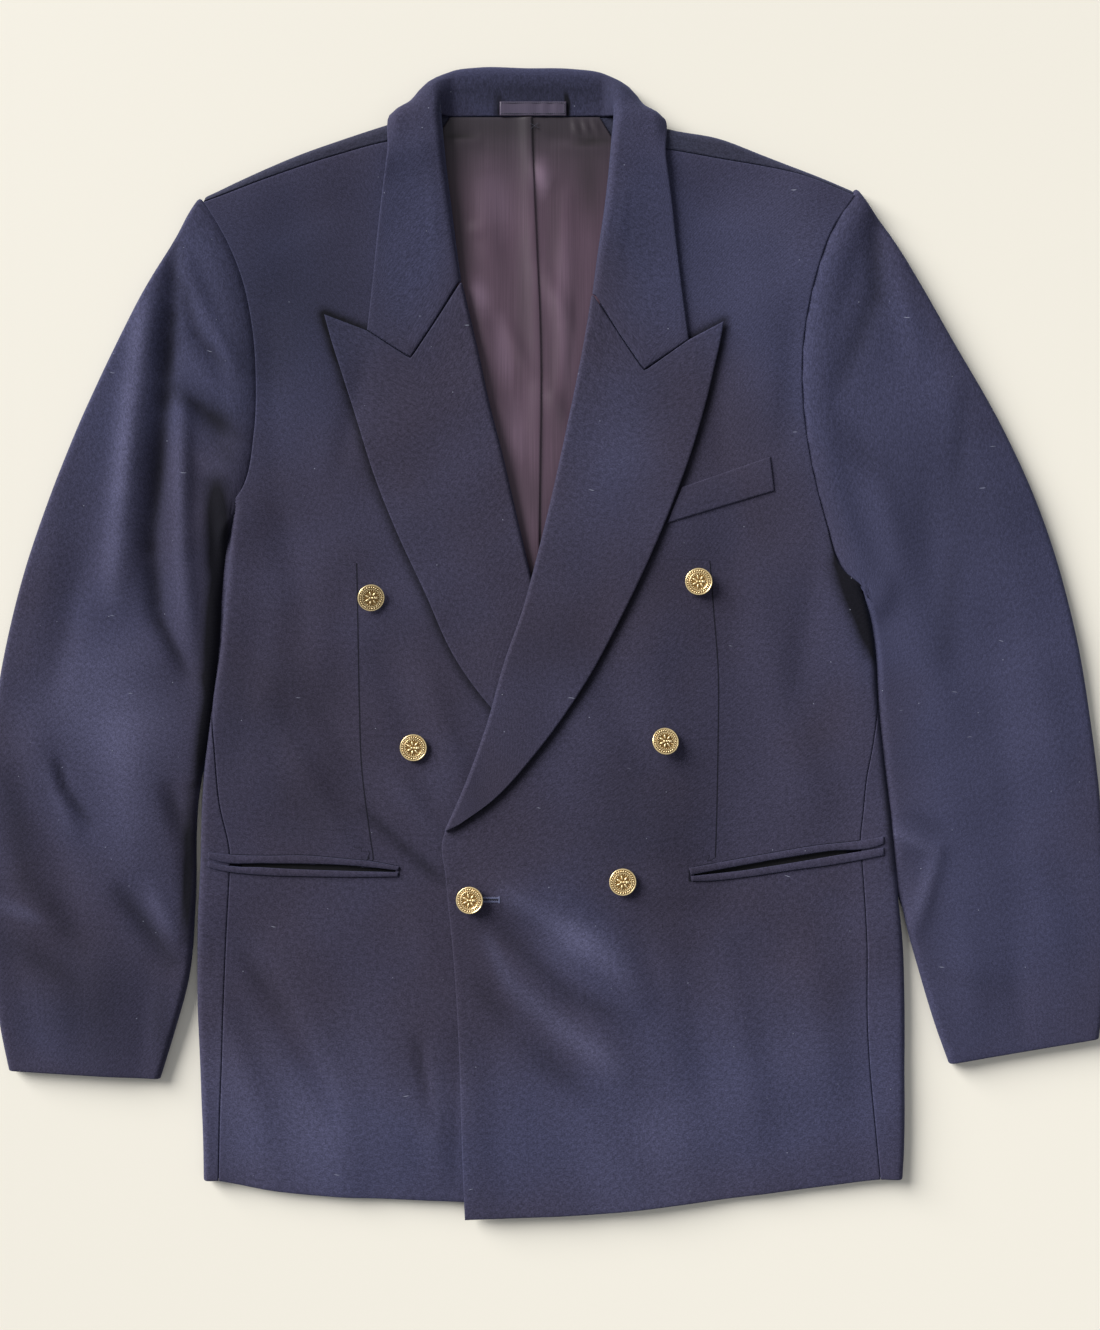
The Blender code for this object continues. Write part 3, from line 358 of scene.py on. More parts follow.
LAPEL_SOFT = 0.3         # extra radius of the roll near the collar
LAPEL_SOFT_FROM, LAPEL_SOFT_TO = 3, 11     # stations of the roll line
ROLL_TUCK = 0.5          # how far the lapel's inner edge lies inside its roll
LAPEL_FALL = 16.0        # the roll comes down over this width

# Collar on the fronts: roll line x, y, free edge x, y, roll radius, extra lift.
COLLAR_RIGHT = [
    (-62.6, 260, -129.1, 225.2, 1.5, 0), (-67, 292, -125, 262, 2.2, 0),
    (-70, 317, -122, 292, 2.8, 0.2), (-73, 341, -118, 324, 3.2, 0.6),
    (-75, 362, -114, 351, 3.4, 1.8)]
COLLAR_LEFT = [
    (33.6, 251, 101.8, 218.3, 1.5, 0), (38, 284, 97, 255, 2.2, 0), (42, 311, 93, 288, 2.8, 0.2),
    (45, 337, 89, 322, 3.2, 0.6), (47, 360, 85, 349, 3.4, 1.8)]
COLLAR_RIGHT_END = [(-80.4, 232.2), (-98.2, 205.7), (-108.3, 211.8)]
COLLAR_LEFT_END = [(51.7, 223.2), (69.8, 196.8), (80.1, 203.8)]
# Collar over the shoulder point: neck, roll, top, three on the fall, free edge.
COLLAR_RIGHT_TURN = [
    [(-81, 381, 10.5), (-76.6, 384, 14), (-80, 385, 16.6), (-88, 385.5, 17),
     (-98, 384.5, 16.2), (-105.5, 383, 14.5), (-111, 380, 10)],
    [(-77, 381, 8), (-75.5, 397, 12), (-79, 401, 13), (-86, 400, 11.5),
     (-94, 394, 7.5), (-97, 388, 1.8), (-97, 380, 1)]]
COLLAR_LEFT_TURN = [
    [(52, 378, 10.5), (48.6, 381, 14), (52, 382, 16.6), (60, 382.5, 17),
     (69, 382, 16.2), (77, 380.5, 14.5), (83, 377, 10)],
    [(49, 379.5, 8), (47.5, 394, 12), (51, 398, 13), (58, 397, 11.5),
     (66, 391, 7.5), (69, 385, 1.8), (69, 377.5, 1)]]
# Collar behind the neck: x, y of the upper fold, x of the free edge underneath.
COLLAR_BACK = [(-68, 412, -74), (-50, 414.5, -52), (-14, 414, -14), (18, 413.5, 20),
               (41, 410, 46)]
COLLAR_FOLD = [(-6, 8.0), (-1.2, 6.6), (0, 4.5), (-4.5, 1.3)]   # y from the fold, z
COLLAR_TUCK = 1.2        # how far the neck edge lies inside the roll
COLLAR_SPREAD = (0.3, 0.62, 0.8)           # where the fall is measured
COLLAR_FALL = 20.0       # the roll comes down over this width
FALL_EDGE = 365.0
NECK_SEAM = 380.1
STAND_LOW = 4.9          # middle of the stand at the neck seam
STAND_SLOPE = 0.075

# %% Edges of the sleeves, outer fold against inner fold
SLEEVE_RIGHT_OUT = [
    (-251, 318), (-285, 262), (-322, 190), (-353, 117), (-379, 40), (-395, -34), (-402, -100),
    (-404, -165), (-400, -230), (-392, -284), (-387, -308)]
SLEEVE_RIGHT_IN = [
    (-226.5, 92), (-236, 74), (-241, 42), (-242, 0), (-245, -42), (-250, -85), (-253.5, -130),
    (-254.5, -185), (-259, -240), (-271, -285), (-280, -314)]
CAP_RIGHT = [(-251, 318), (-239.6, 306), (-231.6, 292), (-221, 266), (-213, 230),
             (-210, 190), (-211.5, 150), (-219.5, 111), (-226.5, 92)]
SLEEVE_LEFT_OUT = [
    (224, 325), (252, 285), (290, 220), (329, 152), (360, 80), (380, 8), (392, -62), (400, -140),
    (402, -215), (400, -262), (397, -285)]
SLEEVE_LEFT_IN = [
    (230, 38), (237, 18), (239.5, 0), (242, -36), (245, -72), (249.5, -110), (253.5, -150),
    (258.5, -195), (269, -235), (281, -275), (291, -303)]
CAP_LEFT = [
    (224, 325), (216, 317), (205.5, 297), (195, 268), (188.5, 240), (184.5, 206), (185.3, 168),
    (191.5, 126), (202.4, 86), (211.5, 59), (220, 46), (230, 38)]
SLEEVE_HEIGHT = 9.0
SLEEVE_UNDER = 18.0      # how far the top sleeve is folded underneath
SLEEVE_UNDER_ARMPIT = 5.1          # and at the inner fold near the armpit
UNDER_STATIONS = (0.5, 2)          # where that grows to its full width
CAP_REACH = 12           # how fast rows straighten below the sleeve head
HEAD_ROLL = 1.6          # the head stands up by this, HEAD_AT from the seam
HEAD_AT = 13.0
HEAD_WIDE = 9.0
HEAD_JOIN = 34.0         # from the seam to the sleeve's own height
ARMPIT_CLEAR = 10.0      # the under sleeve stops short of the armpit's gathered cloth
ARMPIT_STATIONS = (0.6, 1.8)

# %% Small pieces
BUTTONS = [(-127, 33), (109, 44), (-96, -75), (84, -71), (-55, -184), (54, -171)]
BUTTON_ON_RIGHT = (0, 2)
WELT_LOW = [(86.2, 86), (125, 98), (163.5, 109.5)]
WELT_HIGH = [(97, 112), (130, 123.5), (160.5, 134)]
HANGER = (-33.0, 13.0, 381.5, 391.0)      # x from, x to, y from, y to
LINING_EDGE = [(20, -84, 64), (120, -98, 78), (240, -98, 80), (300, -96, 76),
               (356, -85, 52), (379.3, -70, 38)]     # y, x at right, x at left
# Pocket jets, upper line and lower line of each.
JETS = {
    "jet_right_upper": ([(-243.5, -150.5), (-230, -152), (-204, -153), (-172, -153),
                         (-148, -155), (-127, -157), (-106, -161)],
                        [(-243.5, -154.5), (-236, -157), (-204, -158.4), (-172, -158.8),
                         (-140, -160), (-107, -163.4)]),
    "jet_right_lower": ([(-243.5, -156.5), (-236, -159), (-204, -161.5), (-172, -163.2),
                         (-140, -164.1), (-107, -165)],
                        [(-243.5, -161), (-236, -163), (-204, -167), (-172, -168),
                         (-140, -168.3), (-107, -168)]),
    "jet_left_upper": ([(102, -161.5), (123, -158), (157, -152), (192, -146),
                        (226, -142), (242, -139)],
                       [(103.5, -166.3), (134.5, -160.9), (169, -154.8), (203, -149.6),
                        (238, -145.8), (242, -144)]),
    "jet_left_lower": ([(103.5, -167.5), (140, -163.8), (169, -159.4), (203, -153.7),
                        (226, -149.8), (242, -147)],
                       [(104, -170.8), (114, -171), (146, -168), (180, -163),
                        (203, -160), (226, -156), (242, -152.5)])}
# Pocket bags behind the mouths, upper line and lower line.
BAGS = {"bag_right": ([(-220, -148), (-104, -155)], [(-220, -168), (-104, -175)]),
        "bag_left": ([(108, -157), (216, -139.5)], [(108, -176), (216, -159)])}
BAG = 0.8          # pocketing cloth

# %% [markdown]
# ## Thicknesses and heights
# The jacket is a stack of cloths. The back lies on the floor, the fronts on the lining, the
# lapels on the fronts, and each level is a height function of the place. A piece that lies on
# another one takes its height from it and adds its own lift, so a soft fold in a front also
# lifts the lapel, the pocket and the button on it.

# %% Thicknesses, gaps and the levels of the stack
CLOTH = 2.0        # wool with its backing and seam turnings
SATIN = 1.2
JET = 1.4
SEAM = 0.3         # between two pieces that are sewn together
LAY = 0.4          # between two cloths that lie on each other
ARM_SEAM = 0.2
FLAT = 7.0         # a little more air under the fronts than in the plain solids
SHOULDER_RISE, SHOULDER_REACH, SHOULDER_FULL = 6.2, 45.0, 6.0
SIDE_RISE, SIDE_REACH = 2.2, 24.0
ARM_RISE, ARM_REACH, ARM_RISE_Y = 2.0, 30.0, (260.0, 315.0)
FOLD = 3.6         # how far a folded edge is rounded, measured across
SHOULDER_FOLD = 5.5
LAPEL_LIFT = 3.5   # the lapels stand off the chest a little more too
NECK_MIDDLE, NECK_LIFT_X, NECK_LIFT_Y = -12.0, (96.0, 150.0), (290.0, 356.0)
LAP_X, LAP_Y, LAP_LAPEL_Y, LAP_SPARE = (72.0, 140.0), (60.0, 150.0), (-235.0, -165.0), 0.2


# %% Curves through points
def ease(low, high, value):
    t = np.clip((value - low) / (high - low), 0, 1)
    return t * t * (3 - 2 * t)


def bell(distance, reach):
    return np.exp(-(distance / reach) ** 2)


def tangents(gap, slope):
    """Slope of a smooth curve at each point, from the gaps and slopes between points."""
    inner = (gap[1:] * slope[:-1] + gap[:-1] * slope[1:]) / (gap[:-1] + gap[1:])
    return np.concatenate([slope[:1], inner, slope[-1:]])


def between(f, gap, p, tangent, i):
    """The curve's value at the share f of the stretch from point i to the next."""
    return ((2 * f**3 - 3 * f**2 + 1) * p[i] + (f**3 - 2 * f**2 + f) * gap * tangent[i]
            + (3 * f**2 - 2 * f**3) * p[i + 1] + (f**3 - f**2) * gap * tangent[i + 1])


def flow(points, t):
    """Smooth curve through points, t counted in points."""
    p = np.array(points, float)
    gap = np.maximum(np.linalg.norm(np.diff(p, axis=0), axis=1), 1e-6)[:, None]
    t = np.clip(np.atleast_1d(np.array(t, float)), 0, len(p) - 1)
    i = np.minimum(t.astype(int), len(p) - 2)
    out = between((t - i)[:, None], gap[i], p, tangents(gap, np.diff(p, axis=0) / gap), i)
    if p.shape[1] == 3:          # heights never swing past their two neighbours
        pair = p[i, 2], p[i + 1, 2]
        out[:, 2] = np.clip(out[:, 2], np.minimum(*pair), np.maximum(*pair))
    return out


def lookup(rows, value):
    """Reads a two-column table at value, on a smooth curve."""
    x, y = np.array(sorted(rows), float).T
    value = np.clip(value, x[0], x[-1])
    i = np.clip(np.searchsorted(x, value, side="right") - 1, 0, len(x) - 2)
    gap = np.diff(x)
    return between((value - x[i]) / gap[i], gap[i], y, tangents(gap, np.diff(y) / gap), i)


def run_of(line):
    """Length along a line of points, from 0."""
    return np.concatenate([[0], np.cumsum(np.linalg.norm(np.diff(line, axis=0), axis=1))])


def along(points, u, smooth=True):
    """Points at fractions u of a curve's length."""
    t = np.linspace(0, len(points) - 1, 20 * len(points))
    p = np.array(points, float)
    line = flow(p, t) if smooth and len(p) > 2 else np.column_stack(
        [np.interp(t, range(len(p)), p[:, k]) for k in range(p.shape[1])])
    run = run_of(line) / run_of(line)[-1]
    return np.column_stack([np.interp(u, run, line[:, k]) for k in range(line.shape[1])])


def stations(table, spacing):
    """Station numbers so close that two rows are no further apart than spacing."""
    out = [0.0]
    for i, gap in enumerate(np.linalg.norm(np.diff(np.array(table, float)[:, :2], axis=0),
                                           axis=1)):
        n = max(1, math.ceil(gap / spacing))
        out += [i + (k + 1) / n for k in range(n)]
    return out


def patch(low_edge, high_edge, t, u, start=None, end=None, reach=1.0, smooth=True):
    """Rows from one edge table to another; start and end shape the outer rows."""
    a, b = flow(low_edge, [t])[0], flow(high_edge, [t])[0]
    out = a + (b - a) * u[:, None]
    w = t / (len(low_edge) - 1)
    for curve, share in ((start, (1 - w) ** reach), (end, w**reach)):
        if curve is not None and share > 0:
            p = along(curve, u, smooth)
            out = out + share * (p - (p[0] + (p[-1] - p[0]) * u[:, None]))
    return out

# %% [markdown]
# ## Where the cloth has moved
# Cloth that was carried and put down keeps a few long soft folds: down the sleeves from the
# shoulder, across the belly from the one fastened button, and below the pockets. Each is one
# row here, a line with a half width and a height, placed from the photograph. A little
# slow rippling lies over all of it, from a few waves whose directions have a fixed seed.

# %% Folds and ripples
CREASES = [
    # right sleeve: the long ridge, the valley inside it, the inner ridge, the head
    (-283, 262, -296, 175, 10, 5.0), (-296, 178, -304, 94, 10, 6.0),
    (-304, 98, -311, 35, 12, 5.0), (-268, 296, -270, 233, 6, -3.2),
    (-270, 236, -275, 172, 7, -4.2), (-275, 176, -285, 70, 7, -4.8),
    (-285, 74, -279, 20, 8, -4.4), (-280, 24, -258, -22, 7, -3.6),
    (-262, 172, -262, 67, 7, 4.6), (-262, 72, -257, 4, 8, 4.2),
    (-266, 288, -246, 236, 6, 2.6), (-247, 240, -226, 200, 6, 3.2),
    (-262, 262, -252, 222, 5, -2.2), (-253, 224, -232, 198, 5, -2.4),
    (-258, 204, -226, 172, 7, 2.6), (-262, 182, -228, 146, 7, -2.8),
    (-250, 134, -232, 116, 5, 1.6), (-240, 112, -238, 40, 6, -2.4),
    (-350, 110, -372, -10, 12, 1.6), (-334, 60, -352, -30, 10, -1.6),
    # the same sleeve below the elbow
    (-262, -8, -330, -24, 20, 2.6), (-352, -84, -346, -106, 4, -1.6),
    (-347, -104, -328, -132, 4, -1.6), (-358, -90, -340, -134, 6, 2.2),
    (-368, -60, -362, -110, 12, 2.0), (-300, -50, -292, -150, 20, 4.2),
    (-272, -106, -262, -140, 7, -2.6), (-258, -130, -258, -190, 8, -2.2),
    (-378, -100, -340, -180, 12, -2.4), (-388, -158, -352, -196, 10, 3.0),
    (-306, -180, -270, -230, 7, -3.0), (-283, -176, -266, -222, 7, 2.6),
    (-320, -190, -322, -300, 18, 1.6), (-286, -236, -290, -306, 9, -1.3),
    (-390, -205, -368, -290, 10, -1.4), (-352, -230, -346, -300, 11, 1.0),
    # left sleeve, far smoother
    (258, 268, 300, 165, 17, 3.4), (235, 310, 237, 246, 6, -2.0),
    (236, 250, 210, 184, 7, -1.6), (246, 296, 266, 200, 9, 2.0),
    (300, 175, 346, 30, 20, 2.6), (234, 140, 258, 40, 10, 1.8),
    (272, 120, 282, 20, 12, -1.6), (262, 20, 300, -80, 15, 2.0),
    (301, 180, 297, 118, 7, -1.0), (218, 150, 242, 118, 9, -1.2),
    (250, -134, 280, -150, 4.5, 2.4), (282, -148, 266, -205, 6, 2.0),
    (264, -124, 288, -138, 5, -1.4), (256, -158, 258, -196, 5, -1.6),
    (340, 20, 372, -110, 16, 2.2), (318, -20, 340, -140, 12, -1.4),
    (285, -110, 330, -190, 17, 2.0), (352, -150, 372, -240, 15, 1.6),
    (300, -190, 310, -285, 14, 1.8), (334, -200, 344, -290, 10, -1.2),
    # right front: above the pocket, beside the dart, below the pocket, near the edge
    (-203, -42, -138, -151, 10, 1.9), (-172, -30, -120, -120, 8, -1.2),
    (-118, -8, -74, -140, 11, -1.4), (-92, -10, -56, -110, 9, 1.4),
    (-216, -228, -155, -344, 7, -1.6), (-238, -250, -200, -350, 10, 1.8),
    (-196, -225, -140, -330, 12, 1.4),
    (-94, -284, -84, -348, 4, -1.5), (-68, -272, -67, -390, 4, -0.8),
    (-84, -300, -78, -385, 7, 1.6), (-130, -122, -74, -174, 4.5, -2.0),
    (-112, -96, -78, -140, 8, 1.4),
    (-150, -320, -142, -396, 13, 1.1), (-212, -330, -196, -392, 12, 1.0),
    (-192, 30, -208, -90, 13, 1.4), (-196, 120, -178, 20, 11, -1.1),
    (-160, 60, -164, -40, 12, 1.0), (-100, -180, -80, -230, 10, 1.1),
    # left front: below the fastened button, under the lapel, down to the hem
    (-44, -172, 20, -196, 11, 2.8), (14, -192, 66, -252, 13, 3.0),
    (-38, -200, 44, -262, 9, -2.6), (-30, -222, 34, -262, 11, 2.2),
    (30, -258, 60, -320, 14, 1.8), (-36, -252, 24, -312, 10, -1.8),
    (66, -206, 84, -262, 10, -1.4), (-20, -310, 60, -372, 14, 1.4),
    (16, -48, 56, -88, 10, 1.8), (44, -36, 88, -112, 9, -1.0),
    (127, -215, 153, -350, 12, 1.7), (98, -225, 118, -345, 11, -1.1),
    (182, -195, 208, -335, 14, 1.4), (0, -300, 66, -385, 16, 1.5),
    (-42, -290, -34, -400, 11, -1.0), (150, 30, 192, -115, 15, 1.5),
    (198, 80, 178, -50, 11, -1.2), (28, -118, 92, -150, 12, 1.2),
    (214, -190, 236, -330, 12, -0.9), (80, -190, 130, -196, 9, -0.8),
    # chests and shoulders
    (-176, 252, -148, 110, 19, 1.7), (-200, 240, -196, 130, 11, -1.2),
    (150, 262, 162, 140, 20, 1.6), (178, 240, 172, 140, 10, -1.1),
    (-140, 300, -196, 276, 16, 1.0), (108, 302, 172, 284, 16, 1.0),
    (-130, 210, -150, 120, 8, -1.0), (120, 190, 128, 130, 10, -0.9)]
WAVES = 14
WAVE_LENGTH = (38.0, 120.0)      # mm
WAVE_HEIGHT = 0.10

chance = np.random.default_rng(11)
waves = [(chance.uniform(0, math.pi), chance.uniform(*WAVE_LENGTH),
          chance.uniform(0, 2 * math.pi)) for _ in range(WAVES)]
print("folds", len(CREASES), "waves", len(waves))


def ridges(rows, x, y, thin=0.6):
    """Sum of the rows' soft ridges at x, y; thin is lost of each height at its ends."""
    z = np.zeros(np.shape(x))
    for x0, y0, x1, y1, wide, high in rows:
        dx, dy = x1 - x0, y1 - y0
        k = np.clip(((x - x0) * dx + (y - y0) * dy) / (dx * dx + dy * dy), 0, 1)
        taper = 1 - thin * (2 * k - 1) ** 2
        z = z + high * taper * bell(np.hypot(x - x0 - k * dx, y - y0 - k * dy), wide)
    return z


def creases(x, y):
    z = ridges(CREASES, x, y)
    for angle, length, phase in waves:
        way = x * math.cos(angle) + y * math.sin(angle)
        z = z + WAVE_HEIGHT * np.sin(2 * math.pi * way / length + phase)
    return z


# %% Painted light and shade
# Painted light (above 0) and painted shade (below 0) on the cloth: x, y, reach, amount.
SPOTS = [
    (-178, -343, 62, 0.42), (74, -365, 60, 0.30), (175, -300, 60, 0.10), (-320, -45, 40, 0.50),
    (-178, 247, 58, -0.42), (-205, 200, 30, -0.2), (168, 300, 42, 0.22), (-199, -41, 46, -0.22),
    (67, -127, 44, -0.28), (-163, -120, 36, -0.25), (-329, -257, 42, -0.28), (-77, -329, 26, 0.2),
    (10, 0, 30, -0.15), (345, -60, 60, 0.06), (240, 250, 34, -0.20), (300, 105, 48, -0.22),
    (67, 290, 30, -0.12), (56, 146, 28, 0.15), (9, -221, 22, 0.20)]
# The same along lines: x, y from, x, y to, reach, amount.
STREAKS = [
    (-290, 240, -296, 175, 8, 0.55), (-297, 175, -304, 110, 9, 0.65),
    (-305, 110, -311, 30, 9, 0.45), (-268, 292, -270, 235, 6, -0.45),
    (-270, 235, -275, 175, 7, -0.75), (-275, 175, -285, 70, 7, -0.8),
    (-285, 70, -279, 15, 7, -0.6), (-279, 15, -260, -20, 5, -0.55), (-262, 165, -262, 60, 5, 0.3),
    (-262, 60, -254, 0, 6, 0.25), (-262, 262, -252, 222, 4, -0.3),
    (-252, 222, -232, 200, 4, -0.35), (-266, 182, -246, 166, 6, -0.5),
    (-246, 168, -226, 150, 10, -0.85), (-236, 142, -226, 128, 7, -0.35),
    (-246, 240, -228, 202, 4, 0.3), (-256, 202, -226, 174, 5, 0.12),
    (-300, -50, -290, -150, 24, 0.3), (-352, -86, -348, -104, 4, -0.45),
    (-348, -104, -328, -130, 4, -0.5), (-359, -92, -341, -132, 5, 0.2),
    (-272, -106, -262, -140, 7, -0.6), (-260, -140, -260, -200, 5, -0.5),
    (-388, -95, -374, -170, 10, -0.35), (-374, -170, -338, -215, 10, -0.3),
    (-396, -186, -358, -200, 6, 0.35), (-392, -212, -345, -240, 10, -0.3),
    (-306, -180, -268, -230, 7, -0.6), (-282, -182, -264, -216, 5, 0.3),
    (-278, -246, -276, -304, 8, -0.35), (-330, -250, -320, -302, 24, -0.12),
    (236, 308, 238, 250, 7, -0.45), (238, 250, 212, 186, 7, -0.35), (245, 290, 264, 205, 8, 0.15),
    (216, 150, 242, 118, 11, -0.25), (301, 176, 297, 120, 9, -0.15),
    (292, 62, 286, -10, 9, -0.25), (252, -137, 278, -149, 4, 0.4),
    (279, -154, 264, -200, 5, 0.25), (266, -126, 290, -140, 6, -0.2),
    (272, -236, 330, -246, 9, -0.12), (-30, -180, 12, -203, 7, 0.5),
    (10, -203, 38, -221, 13, 0.8), (38, -221, 62, -246, 9, 0.35), (-32, -208, 12, -250, 6, -0.35),
    (12, -250, 60, -272, 7, -0.3), (-43, -212, -26, -245, 5, 0.3), (-26, -245, 11, -277, 8, 0.4),
    (11, -277, 46, -303, 9, 0.45), (-52, -240, -30, -276, 7, -0.25),
    (-16, -290, 28, -322, 10, -0.3), (-216, -230, -193, -262, 7, -0.35),
    (-193, -262, -154, -342, 7, -0.35), (-238, -290, -226, -370, 12, 0.25),
    (-94, -286, -84, -346, 4, -0.5), (-67, -276, -66, -392, 3, -0.3),
    (-130, -122, -102, -148, 4, -0.5), (-102, -148, -74, -172, 5, -0.6),
    (-112, -98, -80, -138, 8, 0.12), (-62, 396, 44, 396, 10, -0.35)]
# Painted sheen: where the cloth is drawn lighter and bluer, as where light catches it: rows as
# above.
PAINTED_SHEEN = [
    (240, 250, 330, 0, 80, 1.0), (330, 0, 335, -270, 80, 0.9), (110, 300, 190, 200, 50, 0.8),
    (-60, 400, 40, 400, 40, 1.0), (-100, 340, -95, 250, 30, 0.9), (75, 340, 75, 250, 30, 0.9),
    (-205, 300, -175, 180, 48, 0.9), (-255, 300, -235, 180, 25, 0.7), (215, 240, 245, 0, 30, 0.7),
    (-290, 250, -320, 20, 50, 0.8), (-330, -50, -300, -160, 45, 0.7),
    (-200, -360, -90, -370, 50, 1.0), (0, -345, 220, -340, 60, 1.0),
    (10, -190, 60, -250, 36, 0.5), (-360, -300, -350, -280, 30, 0.4),
    (60, 200, 42, 110, 24, 0.45)]


# Painted light and shade at x, y, from the spots and the streaks.
def painted_light(x, y):
    spots = sum((amount * bell(np.hypot(x - x0, y - y0), reach)
                 for x0, y0, reach, amount in SPOTS), np.zeros(np.shape(x)))
    return spots + ridges(STREAKS, x, y, 0.5)


def painted_sheen(x, y):
    return np.clip(ridges(PAINTED_SHEEN, x, y, 0.3), 0, 1)


# %% Heights of the stack
def ground(x, y):
    """Middle height of the back, lifted where the collar's fall lies below."""
    beside = 1 - ease(*NECK_LIFT_X, np.abs(x - NECK_MIDDLE))
    return CLOTH / 2 + (CLOTH + LAY) * ease(*NECK_LIFT_Y, y) * beside


def arm_distance(x, y):
    """Distance to the nearer armhole seam."""
    out = np.full(np.shape(x), 1e9)
    for cap in (CAP_RIGHT, CAP_LEFT):
        for px, py in along(cap, np.linspace(0, 1, 60)):
            out = np.minimum(out, np.hypot(x - px, y - py))
    return out


def body(x, y):
    """Middle height of the right front, and of the left one before overlap."""
    x, y = np.asarray(x, float), np.asarray(y, float)
    below = np.maximum(lookup(SHOULDER, x) - SHOULDER_FULL - y, 0)
    z = FLAT + SHOULDER_RISE * bell(below, SHOULDER_REACH)
    inside = np.minimum(x - lookup(SIDE_RIGHT, y), lookup(SIDE_LEFT, y) - x)
    z = z + SIDE_RISE * bell(np.maximum(inside, 0), SIDE_REACH)
    z = z + ARM_RISE * bell(arm_distance(x, y), ARM_REACH) * (1 - ease(*ARM_RISE_Y, y))
    return z + creases(x, y)


def upper(x, y):
    """Middle height of the left front, lifted by the right front and lapel under it."""
    lift = CLOTH + LAY + (LAPEL_LIFT + LAP_SPARE) * ease(*LAP_LAPEL_Y, y)
    return body(x, y) + lift * (1 - ease(*LAP_X, x)) * (1 - ease(*LAP_Y, y))

# %% [markdown]
# ## From a grid of points to a piece of cloth
# A panel could be sculpted or simulated, but its outline would drift from its neighbour's.
# Here it is a grid of points on the middle of the cloth, and one function gives it a wall
# along its own normals. Close to every edge it adds two rows and thins the wall there, which
# is the rounded look of a turned and pressed edge, and leaves a fine valley at each seam.

# %% Cloth from a grid
EDGE_ROWS = [(0.0, 0.40), (0.35, 0.80), (1.1, 1.0)]    # distance from the edge, share of wall
cuts = {}        # the flat width, length and area of each piece, measured along its cloth


def edge_rows(grid):
    """Adds rows close to the first and last row; returns the grid and wall shares."""
    def near(first, second):
        gap = np.maximum(np.linalg.norm(second - first, axis=-1, keepdims=True), 1e-6)
        return [first + (second - first) * np.minimum(d / gap, 0.5) for d, _ in EDGE_ROWS]

    share = [s for _, s in EDGE_ROWS]
    rows = near(grid[0], grid[1]) + list(grid[1:-1]) + near(grid[-1], grid[-2])[::-1]
    return np.array(rows), np.array(share + [1.0] * (len(grid) - 2) + share[::-1])


def normals(grid):
    du, dv = np.gradient(grid, axis=1), np.gradient(grid, axis=0)
    n = np.cross(du, dv)
    return n / np.maximum(np.linalg.norm(n, axis=2, keepdims=True), 1e-9)


def shell_faces(cells):
    """Faces above and below the kept cells of a grid, and round every open side."""
    rows, cols = np.array(cells.shape) + 1
    number = np.arange(rows * cols).reshape(rows, cols)
    ring = np.stack([number[:-1, :-1], number[:-1, 1:], number[1:, 1:], number[1:, :-1]], 2)
    lower = rows * cols
    faces = [ring[cells], ring[cells][:, ::-1] + lower]
    padded = np.pad(cells, 1)
    for k, (dr, dc) in enumerate([(-1, 0), (0, 1), (1, 0), (0, -1)]):
        open_side = cells & ~padded[1 + dr:rows + dr, 1 + dc:cols + dc]
        a, b = ring[open_side][:, k], ring[open_side][:, (k + 1) % 4]
        faces.append(np.stack([a + lower, b + lower, b, a], 1))
    return np.concatenate(faces)


def measure(grid):
    """Distances along the cloth, across and up, and its area, in metres."""
    step = np.linalg.norm(np.diff(grid, axis=1), axis=2).mean(axis=0)
    across = np.concatenate([[0], np.cumsum(step)])
    corner = grid[:-1, :-1]
    area = np.linalg.norm(np.cross(grid[1:, :-1] - corner, grid[:-1, 1:] - corner), axis=2)
    return across * MM, run_of(grid[:, grid.shape[1] // 2]) * MM, float(np.sum(area)) * MM * MM


def cloth(name, grid, wall, material, hole=None, marks=None):
    """A closed shell round a grid; hole(x, y, z) leaves cells out, marks are attributes."""
    grid, row_share = edge_rows(np.array(grid, float))
    turned, column_share = edge_rows(grid.transpose(1, 0, 2))
    grid = turned.transpose(1, 0, 2)
    half = normals(grid) * wall / 2 * np.minimum.outer(row_share, column_share)[:, :, None]
    cells = np.ones(np.array(grid.shape[:2]) - 1, bool)
    if hole:
        middle = (grid[:-1, :-1] + grid[1:, :-1] + grid[:-1, 1:] + grid[1:, 1:]) / 4
        cells = ~hole(middle[..., 0], middle[..., 1], middle[..., 2])
    faces = shell_faces(cells)
    points = np.concatenate([(grid + half).reshape(-1, 3), (grid - half).reshape(-1, 3)]) * MM
    a, b, c, d = (points[faces[:, k]] for k in range(4))
    if np.sum(np.einsum("ij,ij->i", a, np.cross(b, c) + np.cross(c, d))) < 0:
        faces = faces[:, ::-1]
    used, corners = np.unique(faces, return_inverse=True)
    mesh = bpy.data.meshes.new(name)
    mesh.from_pydata(points[used].tolist(), [], corners.reshape(faces.shape).tolist())
    mesh.materials.append(material)
    mesh.polygons.foreach_set("use_smooth", np.ones(len(faces), bool))
    across, up, area = measure(grid)
    flat = np.stack(np.meshgrid(across, up), 2).reshape(-1, 2)
    flat = np.concatenate([flat, flat])[used]
    mesh.uv_layers.new(name="cloth").data.foreach_set("uv", flat[corners.ravel()].ravel())
    x, y = (np.tile(grid[..., k].ravel(), 2)[used] for k in (0, 1))
    for mark, read in {"painted_light": painted_light, "painted_sheen": painted_sheen, **(marks or {})}.items():
        mesh.attributes.new(mark, "FLOAT", "POINT").data.foreach_set("value", read(x, y))
    cuts[name] = (across[-1], up[-1], area)
    print(name, len(up), "x", len(across), "triangles", 2 * len(faces))
    return put(name, mesh)

